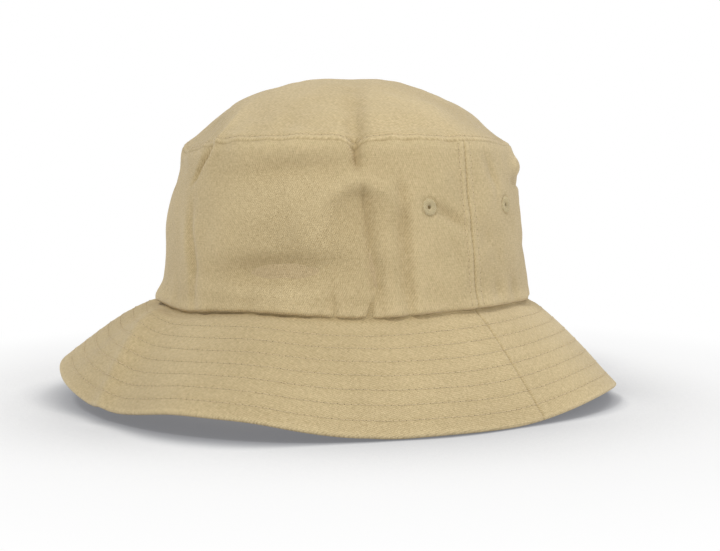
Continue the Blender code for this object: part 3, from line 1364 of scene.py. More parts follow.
class Finishes:
    """Every material of the hat, made once."""

    def __init__(self) -> None:
        """Builds the materials."""
        self.twill = twill("twill", (0.400, 0.302, 0.153), (0.660, 0.529, 0.304))
        self.inside = twill("twill_inside", (0.385, 0.285, 0.150), (0.625, 0.492, 0.292), 28.0)
        self.stitches = (
            thread("thread", (0.47, 0.36, 0.20), (0.74, 0.61, 0.39)),
            # Near-black beads: painted shade in the needle holes.
            thread("needle_hole_shade", (0.10, 0.07, 0.03), (0.16, 0.12, 0.06)),
        )
        self.wrap = thread("eyelet_thread", (0.44, 0.36, 0.20), (0.66, 0.56, 0.35), 0.8 * MM)
        self.tape = tape("tape", (0.38, 0.29, 0.16), (0.60, 0.48, 0.29))
        self.felt = felt("interfacing", (0.66, 0.65, 0.62), (0.84, 0.83, 0.80))
        self.label = satin("label", (0.66, 0.65, 0.61), (0.90, 0.89, 0.86))


def dress(
    piece: bpy.types.Object,
    materials: tuple[bpy.types.Material, ...],
    nodes: tuple[str, ...],
    body: str = "hat",
) -> None:
    """Gives a piece its materials, its body and the CAD nodes it stands for.

    Args:
        piece: The object.
        materials: In the order of its faces' material numbers.
        nodes: CAD nodes it replaces.
        body: The CAD body it rides on.
    """
    for material in materials:
        piece.data.materials.append(material)
    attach(piece, body)
    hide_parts(*nodes)
    log.info("%s: %d faces, replaces %s", piece.name, len(piece.data.polygons), ", ".join(nodes))


# ---- the crown ----


@dataclass
class Crown:
    """Two side panels and the top panel, with their tapes, topstitching and eyelets."""

    shape: HatShape
    finishes: Finishes
    thickness: float = 0.8 * MM
    gap: float = 0.3 * MM
    side_stitch: float = 4.0 * MM
    top_stitch: float = 3.0 * MM
    column_step: float = 1.15 * MM
    top_columns: int = 430
    tape_columns: int = 380
    tape_thickness: float = 0.5 * MM
    tape_height: float = 10.7 * MM
    tape_width: float = 12 * MM
    eyelet_height: float = 50.2 * MM
    eyelet_neck: float = 2.2 * MM
    eyelet_angles: tuple[tuple[str, float], ...] = (
        ("left_front", -15.0),
        ("left_back", 18.8),
        ("right_front", -165.0),
        ("right_back", 161.2),
    )
    folds: tuple[Relief, ...] = (
        # the pinch over and under the top seam, left of the front
        Fold(
            (
                (-35.5, 128, 0.3), (-36.5, 108, 1), (-37, 92, 1.1),
                (-37, 82, 1.1), (-36.8, 74, 0.6), (-36.5, 66, 0),
            ),
            -3.0, 5.0,
        ),
        Fold(
            (
                (-37.2, 83.5, 0.6), (-37, 80, 1.2), (-36.7, 75, 1.1),
                (-36.5, 70, 0.6), (-36.5, 66, 0),
            ),
            -3.2, 1.9,
        ),
        # the collapsed shoulder on the wearer's right, its ridge and its fold
        Dent(-113, 84, 27, 21, -5.6, flat=1.5),
        Fold(
            ((-90, 112, 0.2), (-86, 95, 0.9), (-86, 80, 1.2), (-90, 72, 1), (-96, 62, 0.3)),
            1.3, 4.2, Form.CRISP,
        ),
        Fold(((-87.5, 80, 0.5), (-90, 76, 1.2), (-93, 70, 1.1), (-97, 60, 0.1)), -4.6, 2.3),
        # hollows and the arch on the front
        Dent(-57, 69, 24, 6.5, -3.6, turn=4),
        Dent(-57, 76.5, 24, 4, 1.0),
        Fold(
            (
                (-56, 36, 0.2), (-52, 43, 0.9), (-48, 50, 1), (-44, 57, 1.1),
                (-39.5, 61.5, 1), (-34, 62, 1), (-28.5, 58.5, 0.9), (-25, 52, 0.5),
            ),
            2.7, 4.8,
        ),
        Dent(-38.5, 46, 12, 14, -3.0, turn=-8),
        Fold(((-50, 33, 0.3), (-47.5, 40, 1), (-45, 47, 0.6)), 1.4, 2.6),
        # grooves up the front
        Fold(
            ((-36, 63, 0.2), (-34.5, 54, 0.9), (-33.5, 41, 1), (-33, 28, 0.9), (-32, 14, 0.7)),
            -2.8, 2.2,
        ),
        Fold(
            (
                (-24, 63, 0.1), (-23.5, 57, 0.8), (-23, 44, 1),
                (-23, 30, 1), (-22.8, 17, 0.9), (-22, 3, 0.7),
            ),
            -2.5, 2.6,
        ),
        Fold(
            ((-23.2, 60, 0.4), (-22.8, 44, 1), (-22.8, 30, 1), (-22, 4, 0.7)),
            -1.5, 5.0, Form.LEAN,
        ),
        Fold(((-30.5, 28, 0.1), (-31, 15, 1), (-30.5, 3, 0.9)), -1.7, 2.2),
        Fold(((-44, 17, 0.1), (-44, 8.5, 1), (-43.5, 2, 1)), -1.8, 1.8),
        Fold(((-32, 12, 0.1), (-33, 6, 1), (-33.8, 1, 1.3)), -2.7, 1.7),
        Fold(((-14, 52, 0.2), (-10.5, 48, 1), (-6.5, 44.5, 1), (-1, 39, 0.2)), -2.1, 2.8),
        # the low hollow and the swell over the brim seam
        Dent(-58, 21, 36, 7, -3.6, turn=2, flat=1.2),
        Dent(-60, 9.5, 42, 4.2, 1.4),
        Fold(((-94, 56, 0.1), (-94, 39, 1), (-91, 22, 1), (-89, 4, 0.4)), -2.4, 3.0),
        Dent(-74, 45, 20, 24, 1.4),
        Dent(-104, 30, 14, 24, -1.4),
        Dent(-121, 4, 15, 6, 3.2),
        # the wearer's left, beside and behind the side seam
        Dent(10, 9.5, 4.5, 6, -1.1),
        Dent(20.5, 8.5, 4.5, 6, -1.0),
        Dent(38, 93, 22, 14, -3.0, flat=1.3),
        Dent(35, 69, 9, 5.5, 3.0),
        Fold(((27, 62, 0.3), (33, 62.5, 1), (42, 61, 1), (50, 57, 0.2)), -2.7, 2.6),
        Fold(((8, 78, 0.2), (12, 70, 1), (14, 60, 0.8), (13, 48, 0.1)), -1.2, 3.0),
        # the back and the wearer's right, hung in the same way
        Fold(
            ((66, 118, 0.1), (67, 98, 0.8), (68, 84, 1.1), (68, 75, 0.8), (69, 64, 0)),
            -3.1, 4.5,
        ),
        Fold(((68, 84, 0.6), (68.2, 80, 1.1), (68.6, 74, 0.6), (69, 68, 0)), -3.0, 2.0),
        Dent(86, 62, 20, 10, -2.7, turn=-5),
        Fold(((78, 40, 0.2), (84, 50, 1), (92, 56, 1), (101, 53, 0.8), (106, 44, 0.2)), 2.2, 4.4),
        Fold(((57, 55, 0.1), (56, 40, 1), (56.5, 22, 1), (58, 3, 0.7)), -2.4, 2.8),
        Fold(((108, 48, 0.1), (109, 32, 1), (108, 16, 1), (107, 2, 0.6)), -2.2, 2.6),
        Fold(((121, 21, 0.1), (121.5, 11, 1), (121, 2, 0.9)), -1.5, 2.0),
        Dent(84, 19, 32, 6.5, -2.4, flat=1.2),
        Dent(136, 74, 24, 14, -3.6, turn=8, flat=1.4),
        Fold(((128, 96, 0.2), (127, 82, 1), (130, 72, 1), (136, 62, 0.2)), 1.9, 4.0, Form.CRISP),
        Fold(((150, 60, 0.1), (149, 44, 1), (150, 24, 1), (152, 4, 0.6)), -2.0, 3.0),
        Fold(((-172, 50, 0.1), (-168, 46, 1), (-163, 41, 0.9), (-158, 35, 0.1)), -1.5, 2.8),
        Dent(-146, 44, 18, 16, -3.0, turn=12),
        Fold(((-156, 30, 0.2), (-151, 40, 1), (-146, 52, 1), (-140, 58, 0.6)), 2.0, 4.2),
        Fold(((-134, 34, 0.1), (-134, 20, 1), (-135, 4, 0.8)), -2.0, 2.6),
        Dent(-160, 18, 22, 6, -2.1),
        Dent(175, 94, 22, 14, -2.6),
        Rumple(11, 0.50, 22, 76),
        Rumple(12, 0.16, 9, 24),
    )

    def __post_init__(self) -> None:
        """Lays the folds, and a shallow seat for each eyelet, on the crown."""
        seats = tuple(
            Dent(angle, self.eyelet_height / MM, 4.6, 4.6, -0.45, flat=4)
            for _, angle in self.eyelet_angles
        )
        shape, relief = self.shape, self.folds + seats
        self.skin = Skin(
            shape.crown, shape.crown_outward, relief, self.seams, -1.6 * MM, shape.pole_run
        )

    def seams(self, angle: Array, run: Array) -> Array:
        """Heights of the seams in the crown.

        At a side seam the cloth dips in a ditch pulled down at each stitch, swells as far as the
        topstitching and dips again there. At the top seam the top panel stands on its folded
        allowance. The side swells over the brim seam. Both level seams pucker the cloth beside
        them. Each term is a height times a bell of the distance.

        Args:
            angle: Angles of the places.
            run: Their runs.

        Returns:
            Heights in metres.
        """
        side = from_seam(angle, self.shape.mean_half)
        over = run - self.shape.side_run
        on_side = ease(-over, 0, 2 * MM)
        pull = 0.7 + 0.3 * np.cos(TURN * run / Lockstitch.pitch)
        ditch = -0.6 * pull * bell(side, 0.5 * MM) + 0.22 * bell(side - 2.2 * MM, 1.6 * MM)
        ditch = on_side * (ditch - 0.10 * bell(side - self.side_stitch, 0.6 * MM))
        step = 0.25 * ease(over, 0, 1.2 * MM) * (1 - ease(over, 5 * MM, 9 * MM))
        tip = -0.42 * bell(over, 0.7 * MM) - 0.16 * bell(over - self.top_stitch, 0.7 * MM)
        tip = tip + step + 0.3 * bell(over + 3.5 * MM, 3 * MM)
        pucker = 0.20 * ring_noise(angle, 21, 20, 56) * np.exp(-np.abs(over) / (6 * MM))
        swell = (1.15 + 0.25 * ring_noise(angle, 22, 5, 17, 5)) * bell(run - 2.5 * MM, 4.5 * MM)
        gather = 0.24 * ring_noise(angle, 23, 26, 70) * np.exp(-np.maximum(run, 0) / (7 * MM))
        return (ditch + tip + pucker + swell + gather) * MM

    def raised(self, angle: Array, run: Array, height: Array) -> Array:
        """The crown's smooth face with these heights on it."""
        shape = self.shape
        return shape.crown(angle, run) + shape.crown_outward(angle, run) * height[..., None]

    def inner_skin(self, depth: float) -> Surface:
        """The crown's face moved in by a depth, for what lies against its inside."""
        return lambda angle, run: self.skin.point(angle, run, -depth)

    def wear_and_painted_light(self, angle: Array, run: Array, height: Array) -> Array:
        """Painted highlight on the seams' swells and the folds' ridges, painted shade in the
        ditches and hollows.

        Args:
            angle: Angles of the places.
            run: Their runs.
            height: Heights of the relief there.

        Returns:
            A value per place.
        """
        over = run - self.shape.side_run
        side = from_seam(angle, self.shape.mean_half)
        on_side = ease(-over, -0.5 * MM, 1 * MM)
        # Painted highlight on the top seam's step and puff, the swell over the brim seam and the
        # side seams' swells.
        highlight_and_wear = 0.4 * bell(over + 2.6 * MM, 2.2 * MM) + 0.3 * bell(over - 1.2 * MM, 1 * MM)
        highlight_and_wear = highlight_and_wear + 0.35 * bell(run - 3 * MM, 3 * MM)
        highlight_and_wear = highlight_and_wear + 0.2 * on_side * bell(side - 2.2 * MM, 1.2 * MM)
        # Painted shade in the top and side seams' ditches, darker at each stitch, under the curl at
        # the brim seam, and a painted shadow ring round each eyelet.
        dashes = 0.6 + 0.4 * np.cos(TURN * run / Lockstitch.pitch)
        painted_shade = bell(over, 0.5 * MM) + 1.6 * dashes * on_side * bell(side, 0.45 * MM)
        painted_shade = painted_shade + 0.7 * ease(-run, -0.9 * MM, 1 * MM)
        for _, place in self.eyelet_angles:
            aside = np.radians(bearing(angle, place)) * self.shape.mean_half
            away = np.hypot(aside, run - self.eyelet_height)
            painted_shade = painted_shade + 0.9 * bell(away - 4.5 * MM, 0.6 * MM)
        # Painted shade in the folds' hollows and painted highlight on their ridges.
        return highlight_and_wear - painted_shade + np.clip(height / (5 * MM), -0.4, 0.25)

    def build(self) -> None:
        """Builds every piece of the crown."""
        self.build_sides()
        self.build_top()
        self.build_tapes()
        self.build_stitches()
        self.build_eyelets()

    def build_sides(self) -> None:
        """The front and back panels, from the curl over the brim seam to the top seam."""
        shape = self.shape
        low = -1.0 * MM
        length = shape.side_run - low
        rows = low + graded(length, (0, length), 0.35 * MM, self.column_step, 7 * MM)
        span = HALF_TURN * shape.mean_half
        spots = (0.0, self.side_stitch, span - self.side_stitch, span)
        columns = graded(span, spots, 0.3 * MM, self.column_step, 5 * MM) / shape.mean_half
        for end, first in (("front", -HALF_TURN), ("back", 0.0)):
            run, angle = np.meshgrid(rows, first + columns, indexing="ij")
            height = self.skin.height(angle, run)
            points = self.raised(angle, run, height)
            weave = np.stack([angle * shape.mean_half, run], -1)
            cloth = Cloth(
                points,
                weave,
                self.thickness,
                holes=self.eyelet_holes(angle, run),
                wear_and_painted_light=self.wear_and_painted_light(angle, run, height),
            )
            piece = cloth.build(f"crown_panel_{end}")
            dress(piece, (self.finishes.twill,), (f"crown_side_{end}",))

    def eyelet_holes(self, angle: Array, run: Array) -> Array:
        """Quads whose middle is within an eyelet's neck.

        Args:
            angle: Angles of the places.
            run: Their runs.

        Returns:
            True for each quad left out.
        """
        at = (angle[:-1, :-1] + angle[1:, 1:]) / 2
        high = (run[:-1, :-1] + run[1:, 1:]) / 2
        hole = np.zeros(at.shape, bool)
        for _, place in self.eyelet_angles:
            aside = np.radians(bearing(at, place)) * self.shape.mean_half
            hole |= np.hypot(aside, high - self.eyelet_height) < self.eyelet_neck
        return hole

    def build_top(self) -> None:
        """The top panel, rings from the top seam to its middle."""
        shape = self.shape
        arc = shape.pole_run - shape.side_run
        rows = shape.side_run + graded(arc, (0.0, self.top_stitch), 0.3 * MM, 1.25 * MM, 7 * MM)
        columns = np.arange(self.top_columns) * TURN / self.top_columns
        run, angle = np.meshgrid(rows, columns, indexing="ij")
        height = self.skin.height(angle, run)
        middle = height[-8:].mean()
        height = middle + (height - middle) * ease(shape.pole_run - run, 0, 12 * MM)
        points = self.raised(angle, run, height)
        flat = points[..., :2]
        weave = np.concatenate([flat, flat[:, :1]], 1)
        wear_and_painted_light = self.wear_and_painted_light(angle, run, height)
        cloth = Cloth(points, weave, self.thickness, ring=True, pole=True, wear_and_painted_light=wear_and_painted_light)
        piece = cloth.build("crown_top")
        dress(piece, (self.finishes.twill,), ("crown_top_panel",))

    def build_tapes(self) -> None:
        """The tape over the top seam's allowance, and one up each side seam."""
        shape = self.shape
        face = self.inner_skin(self.thickness + self.gap)
        high = shape.side_run - 0.6 * MM
        rows = np.linspace(high - self.tape_height, high, 12)
        columns = np.arange(self.tape_columns) * TURN / self.tape_columns
        run, angle = np.meshgrid(rows, columns, indexing="ij")
        edge = np.abs(run - rows.mean()) / (self.tape_height / 2)
        weave = np.stack([angle * shape.mean_half, run], -1)
        closing = weave[:, :1] + np.array([TURN * shape.mean_half, 0])
        weave = np.concatenate([weave, closing], 1)
        wear_and_painted_light = ease(edge, 0.8, 1)
        cloth = Cloth(face(angle, run), weave, self.tape_thickness, ring=True, wear_and_painted_light=wear_and_painted_light)
        dress(cloth.build("top_tape"), (self.finishes.tape,), ("top_seam_tape",))
        band_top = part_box("sweatband")[1].z - shape.base_z
        rows = np.linspace(band_top + 0.3 * MM, high - self.tape_height - 0.3 * MM, 44)
        half_width = self.tape_width / 2
        for side, seam in (("left", 0.0), ("right", HALF_TURN)):
            across = np.linspace(-half_width, half_width, 15) / shape.mean_half
            run, angle = np.meshgrid(rows, seam + across, indexing="ij")
            edge = np.abs(angle - seam) * shape.mean_half / half_width
            weave = np.stack([run, angle * shape.mean_half], -1)
            cloth = Cloth(face(angle, run), weave, self.tape_thickness, wear_and_painted_light=ease(edge, 0.8, 1))
            piece = cloth.build(f"side_tape_{side}")
            dress(piece, (self.finishes.tape,), (f"side_seam_tape_{side}",))

    def build_stitches(self) -> None:
        """The topstitching beside the top seam and each side seam, seen outside and inside."""
        shape, materials = self.shape, self.finishes.stitches
        outside = self.skin.point
        stitch = Lockstitch()
        turn = np.linspace(0, TURN, 900)
        level = np.full_like(turn, shape.side_run + self.top_stitch)
        inside = self.inner_skin(self.thickness)
        rows = [
            stitch.row(outside, turn, level, 1, True),
            stitch.row(inside, turn, level, -1, True),
        ]
        dress(stitch.build("top_stitches", rows), materials, ("top_seam_stitch",))
        behind = self.inner_skin(self.thickness + self.gap + self.tape_thickness)
        run = np.linspace(3 * MM, shape.side_run - 1.5 * MM, 120)
        hidden = run > (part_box("sweatband")[1].z - shape.base_z) + 1 * MM
        for side, seam, front in (("left", 0.0, -1), ("right", HALF_TURN, 1)):
            for end, way in (("front", front), ("back", -front)):
                place = seam + way * self.side_stitch / shape.mean_half
                angle = np.full_like(run, place)
                rows = [
                    stitch.row(outside, angle, run, 1, False),
                    stitch.row(behind, angle[hidden], run[hidden], -1, False),
                ]
                name = f"side_stitches_{side}_{end}"
                dress(stitch.build(name, rows), materials, (f"side_stitch_{side}_{end}",))

    def build_eyelets(self) -> None:
        """Sewn eyelets: a ring of thread wrapped over the cloth's edge, from face to face.

        The section is a closed loop of (radius, height) points; the radius and the height swell
        with |cos| of the angle round the hole, one swell to each wrap of thread.
        """
        section = np.array([
            (4.1, -0.35), (4.15, 0.15), (3.9, 0.58), (3.3, 0.82), (2.6, 0.86), (1.9, 0.74),
            (1.35, 0.48), (1.0, 0.05), (0.9, -0.4), (0.95, -0.9), (1.3, -1.25), (2.0, -1.42),
            (3.0, -1.42), (3.6, -1.25), (3.75, -0.95), (3.2, -0.75), (2.6, -0.5), (3.2, -0.3),
        ]) * MM
        wraps, fine = 30, 8
        turn = np.arange(wraps * fine) * TURN / (wraps * fine)
        for name, place in self.eyelet_angles:
            picked = np.random.default_rng(int(abs(place)) + 3)
            angle, run = np.array([math.radians(place)]), np.array([self.eyelet_height])
            found = frames_on(self.skin.point, angle, run)
            middle, east, north, normal = (part[0] for part in found)
            wrap = np.abs(np.cos(wraps * turn / 2))[:, None]
            uneven = np.repeat(picked.normal(0, 0.035, wraps), fine)[:, None]
            face = ease(section[:, 0], 0.9 * MM, 1.6 * MM) * (section[:, 1] > 0.05 * MM)
            rim = section[:, 0] > 3.5 * MM
            radius = section[:, 0] * (1 + 0.035 * (wrap - 0.5) + uneven * rim)
            high = section[:, 1] * (1 + 0.34 * (wrap - 0.6) * face)
            points = (
                middle
                + (radius * np.cos(turn)[:, None])[..., None] * east
                + (radius * np.sin(turn)[:, None])[..., None] * north
                + high[..., None] * normal
            )
            along = running_length(section)
            along = np.append(along, along[-1] + 0.9 * MM)
            round_hole = np.arange(len(turn) + 1) * 3 * MM * TURN / len(turn)
            weave = np.stack(np.broadcast_arrays(along, round_hole[:, None]), -1)
            piece = tube(f"eyelet_ring_{name}", points, weave)
            dress(piece, (self.finishes.wrap,), (f"eyelet_{name}",))


# ---- the brim ----


@dataclass
class Brim:
    """Upper and lower cloth over the stiffener, rolled at the edge and stitched in seven rows."""

    shape: HatShape
    finishes: Finishes
    thickness: float = 0.8 * MM
    felt_thickness: float = 0.4 * MM
    rows: int = 7
    first_row: float = 9.5 * MM
    last_row: float = 7.9 * MM
    roll: float = 1.3 * MM
    hem: float = 3.4 * MM
    stand: float = 8 * MM
    column_step: float = 1.5 * MM
    folds: tuple[Relief, ...] = (
        # the crease to the corner on the wearer's right, and the facet behind it
        Fold(
            ((-108, 1, 0.4), (-103, 15, 0.9), (-99, 27, 1.1), (-97, 43, 1.1), (-94, 64, 1)),
            7.0, 17, Form.CRISP,
        ),
        Dent(-118, 38, 16, 30, -3.0),
        Dent(-80, 38, 22, 24, -0.9),
        # the soft ridge to the low corner at the front
        Fold(((-38, 2, 0.2), (-37.5, 20, 0.7), (-37, 40, 1), (-36.5, 64, 1)), 1.3, 13, Form.CRISP),
        Dent(-62, 42, 24, 20, -0.8),
        Dent(8, 40, 26, 22, -0.8),
        Dent(41, 62, 15, 11, -3.0),
        Fold(((-6.5, -1, 1), (-6.4, 2.5, 0.8), (-6.2, 5, 0)), -0.9, 1.0),
        Fold(((62, 2, 0.2), (66, 24, 0.8), (69, 64, 1)), 1.2, 14, Form.CRISP),
        Dent(98, 40, 26, 20, -0.8),
        Fold(((148, 2, 0.2), (151, 26, 0.9), (154, 64, 1)), 1.3, 13, Form.CRISP),
        Dent(-160, 38, 28, 22, -0.8),
        Rumple(31, 0.34, 34, 95),
    )

    def __post_init__(self) -> None:
        """Works out the pitch of the stitched rows, and lays the folds on the brim."""
        shape = self.shape
        self.pitch = (shape.brim_width - self.first_row - self.last_row) / (self.rows - 1)
        high = shape.brim_width + 1 * MM
        self.skin = Skin(shape.brim, shape.brim_outward, self.folds, self.camber, -9 * MM, high)

    def camber(self, angle: Array, run: Array) -> Array:
        """The brim's arch between crown and edge: a height for each side times sin(pi t^0.7),
        with t the share of the width, and the calm of its edge.

        Args:
            angle: Angles of the places.
            run: Their runs.

        Returns:
            Heights in metres.
        """
        share = np.clip(run / self.shape.brim_width, 0, 1)
        high = 1.0 + 3.4 * bell(bearing(angle, -128), 30) + 1.4 * bell(bearing(angle, 42), 26)
        high = high + 0.8 * bell(bearing(angle, 120), 40)
        return high * MM * np.sin(HALF_TURN * share**0.7)

    def between(self, run: Array) -> Array:
        """0 on a stitched row and 1 midway between two."""
        return 0.5 - 0.5 * np.cos(TURN * (run - self.first_row) / self.pitch)

    def quilt(self, angle: Array, run: Array) -> Array:
        """Cloth pulled down along each stitched row and swelling between rows, and the side seams'
        ditch; each a height times a bell of the distance.

        Args:
            angle: Angles of the places.
            run: Their runs.

        Returns:
            Heights in metres.
        """
        total = np.zeros(np.broadcast(angle, run).shape)
        for row in range(self.rows):
            away = run - self.first_row - self.pitch * row
            total = total - 0.07 * bell(away, 0.6 * MM)
        width = self.shape.brim_width
        inside = ease(run, 3 * MM, 8 * MM) * (1 - ease(run, width - 7 * MM, width - 2 * MM))
        total = total + 0.04 * inside * self.between(run)
        total = total + 0.05 * inside * ring_noise(angle + run * 9, 41, 60, 150)
        aside = from_seam(angle, self.shape.mean_half + run * 0.7)
        total = total - 0.35 * bell(aside, 0.5 * MM) + 0.14 * bell(aside - 1.8 * MM, 1.2 * MM)
        return total * MM

    def surface(self, depth: float) -> Surface:
        """The brim at a depth under its upper face."""
        return lambda angle, run: self.point(angle, run, depth)

    def point(self, angle: Array, run: Array, depth: Array | float) -> Array:
        """A place in the brim: the folded surface, in by the depth, with the quilting on whichever
        face is nearer, never under the table.

        Args:
            angle: Angles of the places.
            run: Their runs.
            depth: Depths under the face.

        Returns:
            Points.
        """
        angle, run, depth = np.broadcast_arrays(angle, run, depth)
        face = np.clip(1 - 2 * depth / self.shape.brim_depth, -1, 1)
        relief = self.skin.height(angle, run) * ease(run, 0, 7 * MM)
        lift = relief - depth + self.quilt(angle, run) * face
        at = self.shape.brim(angle, run) + self.shape.brim_outward(angle, run) * lift[..., None]
        at[..., 2] = np.maximum(at[..., 2], 0)
        return at

    def grid(self, section: Array, first: float) -> tuple[Array, Array, Array, Array]:
        """A (run, depth) section carried round half the brim.

        Args:
            section: One (run, depth) row per row of the grid.
            first: The angle it starts from.

        Returns:
            The points, the weave's places on the flat cut, the angles and the runs.
        """
        span = HALF_TURN * (self.shape.mean_half + 20 * MM)
        columns = graded(span, (0.0, span), 0.3 * MM, self.column_step, 4 * MM) / (span / HALF_TURN)
        run, angle = np.meshgrid(section[:, 0], first + columns, indexing="ij")
        depth = np.broadcast_to(section[:, 1][:, None], run.shape)
        radius = self.shape.mean_half / 0.75 + run
        turned = (angle - first - HALF_TURN / 2) * 0.75
        weave = np.stack([radius * np.sin(turned), -radius * np.cos(turned)], -1)
        return self.point(angle, run, depth), weave, angle, run

    def upper_section(self) -> Array:
        """The upper cloth's path: down the stand, along the brim, round the edge and back.

        Returns:
            One (run, depth) row per place.
        """
        edge = self.shape.brim_width - self.roll
        rows = [self.first_row + self.pitch * row for row in range(self.rows)]
        spots = tuple(self.stand + run for run in (0.0, *rows, edge))
        top = graded(edge + self.stand, spots, 0.35 * MM, 1.2 * MM, 3 * MM) - self.stand
        turn = np.linspace(0, HALF_TURN, 13)[1:]
        out, down = self.roll * np.sin(turn), self.roll - self.roll * np.cos(turn)
        round_edge = np.stack([edge + out, down], 1)
        back = np.linspace(edge, edge - self.hem, 6)[1:]
        under = np.stack([back, np.full_like(back, 2 * self.roll)], 1)
        under[-1, 1] -= 0.25 * MM
        return np.concatenate([np.stack([top, np.zeros_like(top)], 1), round_edge, under])

    def lower_section(self) -> Array:
        """The lower cloth's path: from the hem in along the underside, then up the stand.

        Returns:
            One (run, depth) row per place.
        """
        start = self.shape.brim_width - self.roll - self.hem + 0.1 * MM
        rows = [start - self.first_row - self.pitch * row for row in range(self.rows)]
        spots = (0.0, *rows, start)
        run = start - graded(start + 6 * MM, spots, 0.35 * MM, 1.2 * MM, 3 * MM)
        depth = np.full_like(run, self.shape.brim_depth)
        depth[0] -= 0.3 * MM
        return np.stack([run, depth], 1)

    def wear_and_painted_light(self, angle: Array, run: Array, depth: Array) -> Array:
        """Painted highlight along the rolled edge and the quilts' swells, painted shade in the
        rows, the side seams' ditch and at the brim seam.

        Args:
            angle: Angles of the places.
            run: Their runs.
            depth: Depths under the face.

        Returns:
            A value per place.
        """
        edge = self.shape.brim_width
        quilts = self.between(run)
        # Painted highlight on the rolled edge and on the swells between rows.
        highlight_and_wear = bell(run - edge, 1.6 * MM) * (depth < self.roll) + 0.12 * quilts
        aside = from_seam(angle, self.shape.mean_half + run * 0.7)
        # Painted shade in the side seams' ditch and in the groove at the brim seam.
        painted_shade = 0.9 * bell(aside, 0.5 * MM) + 1.2 * ease(-run, -2.2 * MM, 0)
        # The last term is painted shade along the stitched rows.
        return highlight_and_wear - painted_shade - 0.10 * (1 - quilts) ** 6

    def build(self) -> None:
        """Builds the brim's cloths, stiffener and stitching."""
        upper, lower = self.upper_section(), self.lower_section()
        stiff = np.linspace(3 * MM, self.shape.brim_width - self.roll - self.hem - 0.5 * MM, 30)
        felt = np.stack([stiff, np.full_like(stiff, 1.1 * MM)], 1)
        for end, first in (("front", -HALF_TURN), ("back", 0.0)):
            points, weave, angle, run = self.grid(upper, first)
            depth = np.broadcast_to(upper[:, 1][:, None], run.shape)
            wear_and_painted_light = self.wear_and_painted_light(angle, run, depth)
            cloth = Cloth(points, weave, self.thickness, flip=True, wear_and_painted_light=wear_and_painted_light)
            piece = cloth.build(f"brim_top_cloth_{end}")
            dress(piece, (self.finishes.twill,), (f"brim_upper_{end}",))
            points, weave, angle, run = self.grid(lower, first)
            # Half of the painted shade and highlight on the under cloth.
            wear_and_painted_light = 0.5 * self.wear_and_painted_light(angle, run, np.zeros_like(run))
            cloth = Cloth(points, weave, self.thickness, flip=True, wear_and_painted_light=wear_and_painted_light)
            piece = cloth.build(f"brim_under_cloth_{end}")
            dress(piece, (self.finishes.inside,), (f"brim_lower_{end}",))
            points, weave, _, _ = self.grid(felt, first)
            cloth = Cloth(points[:, ::3], weave[:, ::3], self.felt_thickness, flip=True)
            piece = cloth.build(f"brim_stiffener_{end}")
            dress(piece, (self.finishes.felt,), (f"brim_interfacing_{end}",))
        self.build_stitches()

    def build_stitches(self) -> None:
        """Seven rows, each with its needle thread above and its bobbin thread below."""
        turn = np.linspace(0, TURN, 1100)
        above, below = self.surface(0.0), self.surface(self.shape.brim_depth)
        for row in range(self.rows):
            stitch = Lockstitch(seed=50 + row)
            run = np.full_like(turn, self.first_row + self.pitch * row)
            laid = [stitch.row(above, turn, run, -1, True)]
            if run[0] < self.shape.brim_width - self.roll - self.hem:
                laid.append(stitch.row(below, turn, run, 1, True))
            piece = stitch.build(f"brim_stitches_{row + 1}", laid)
            dress(piece, self.finishes.stitches, (f"brim_stitch_row_{row + 1}",))


# ---- inside the hat ----


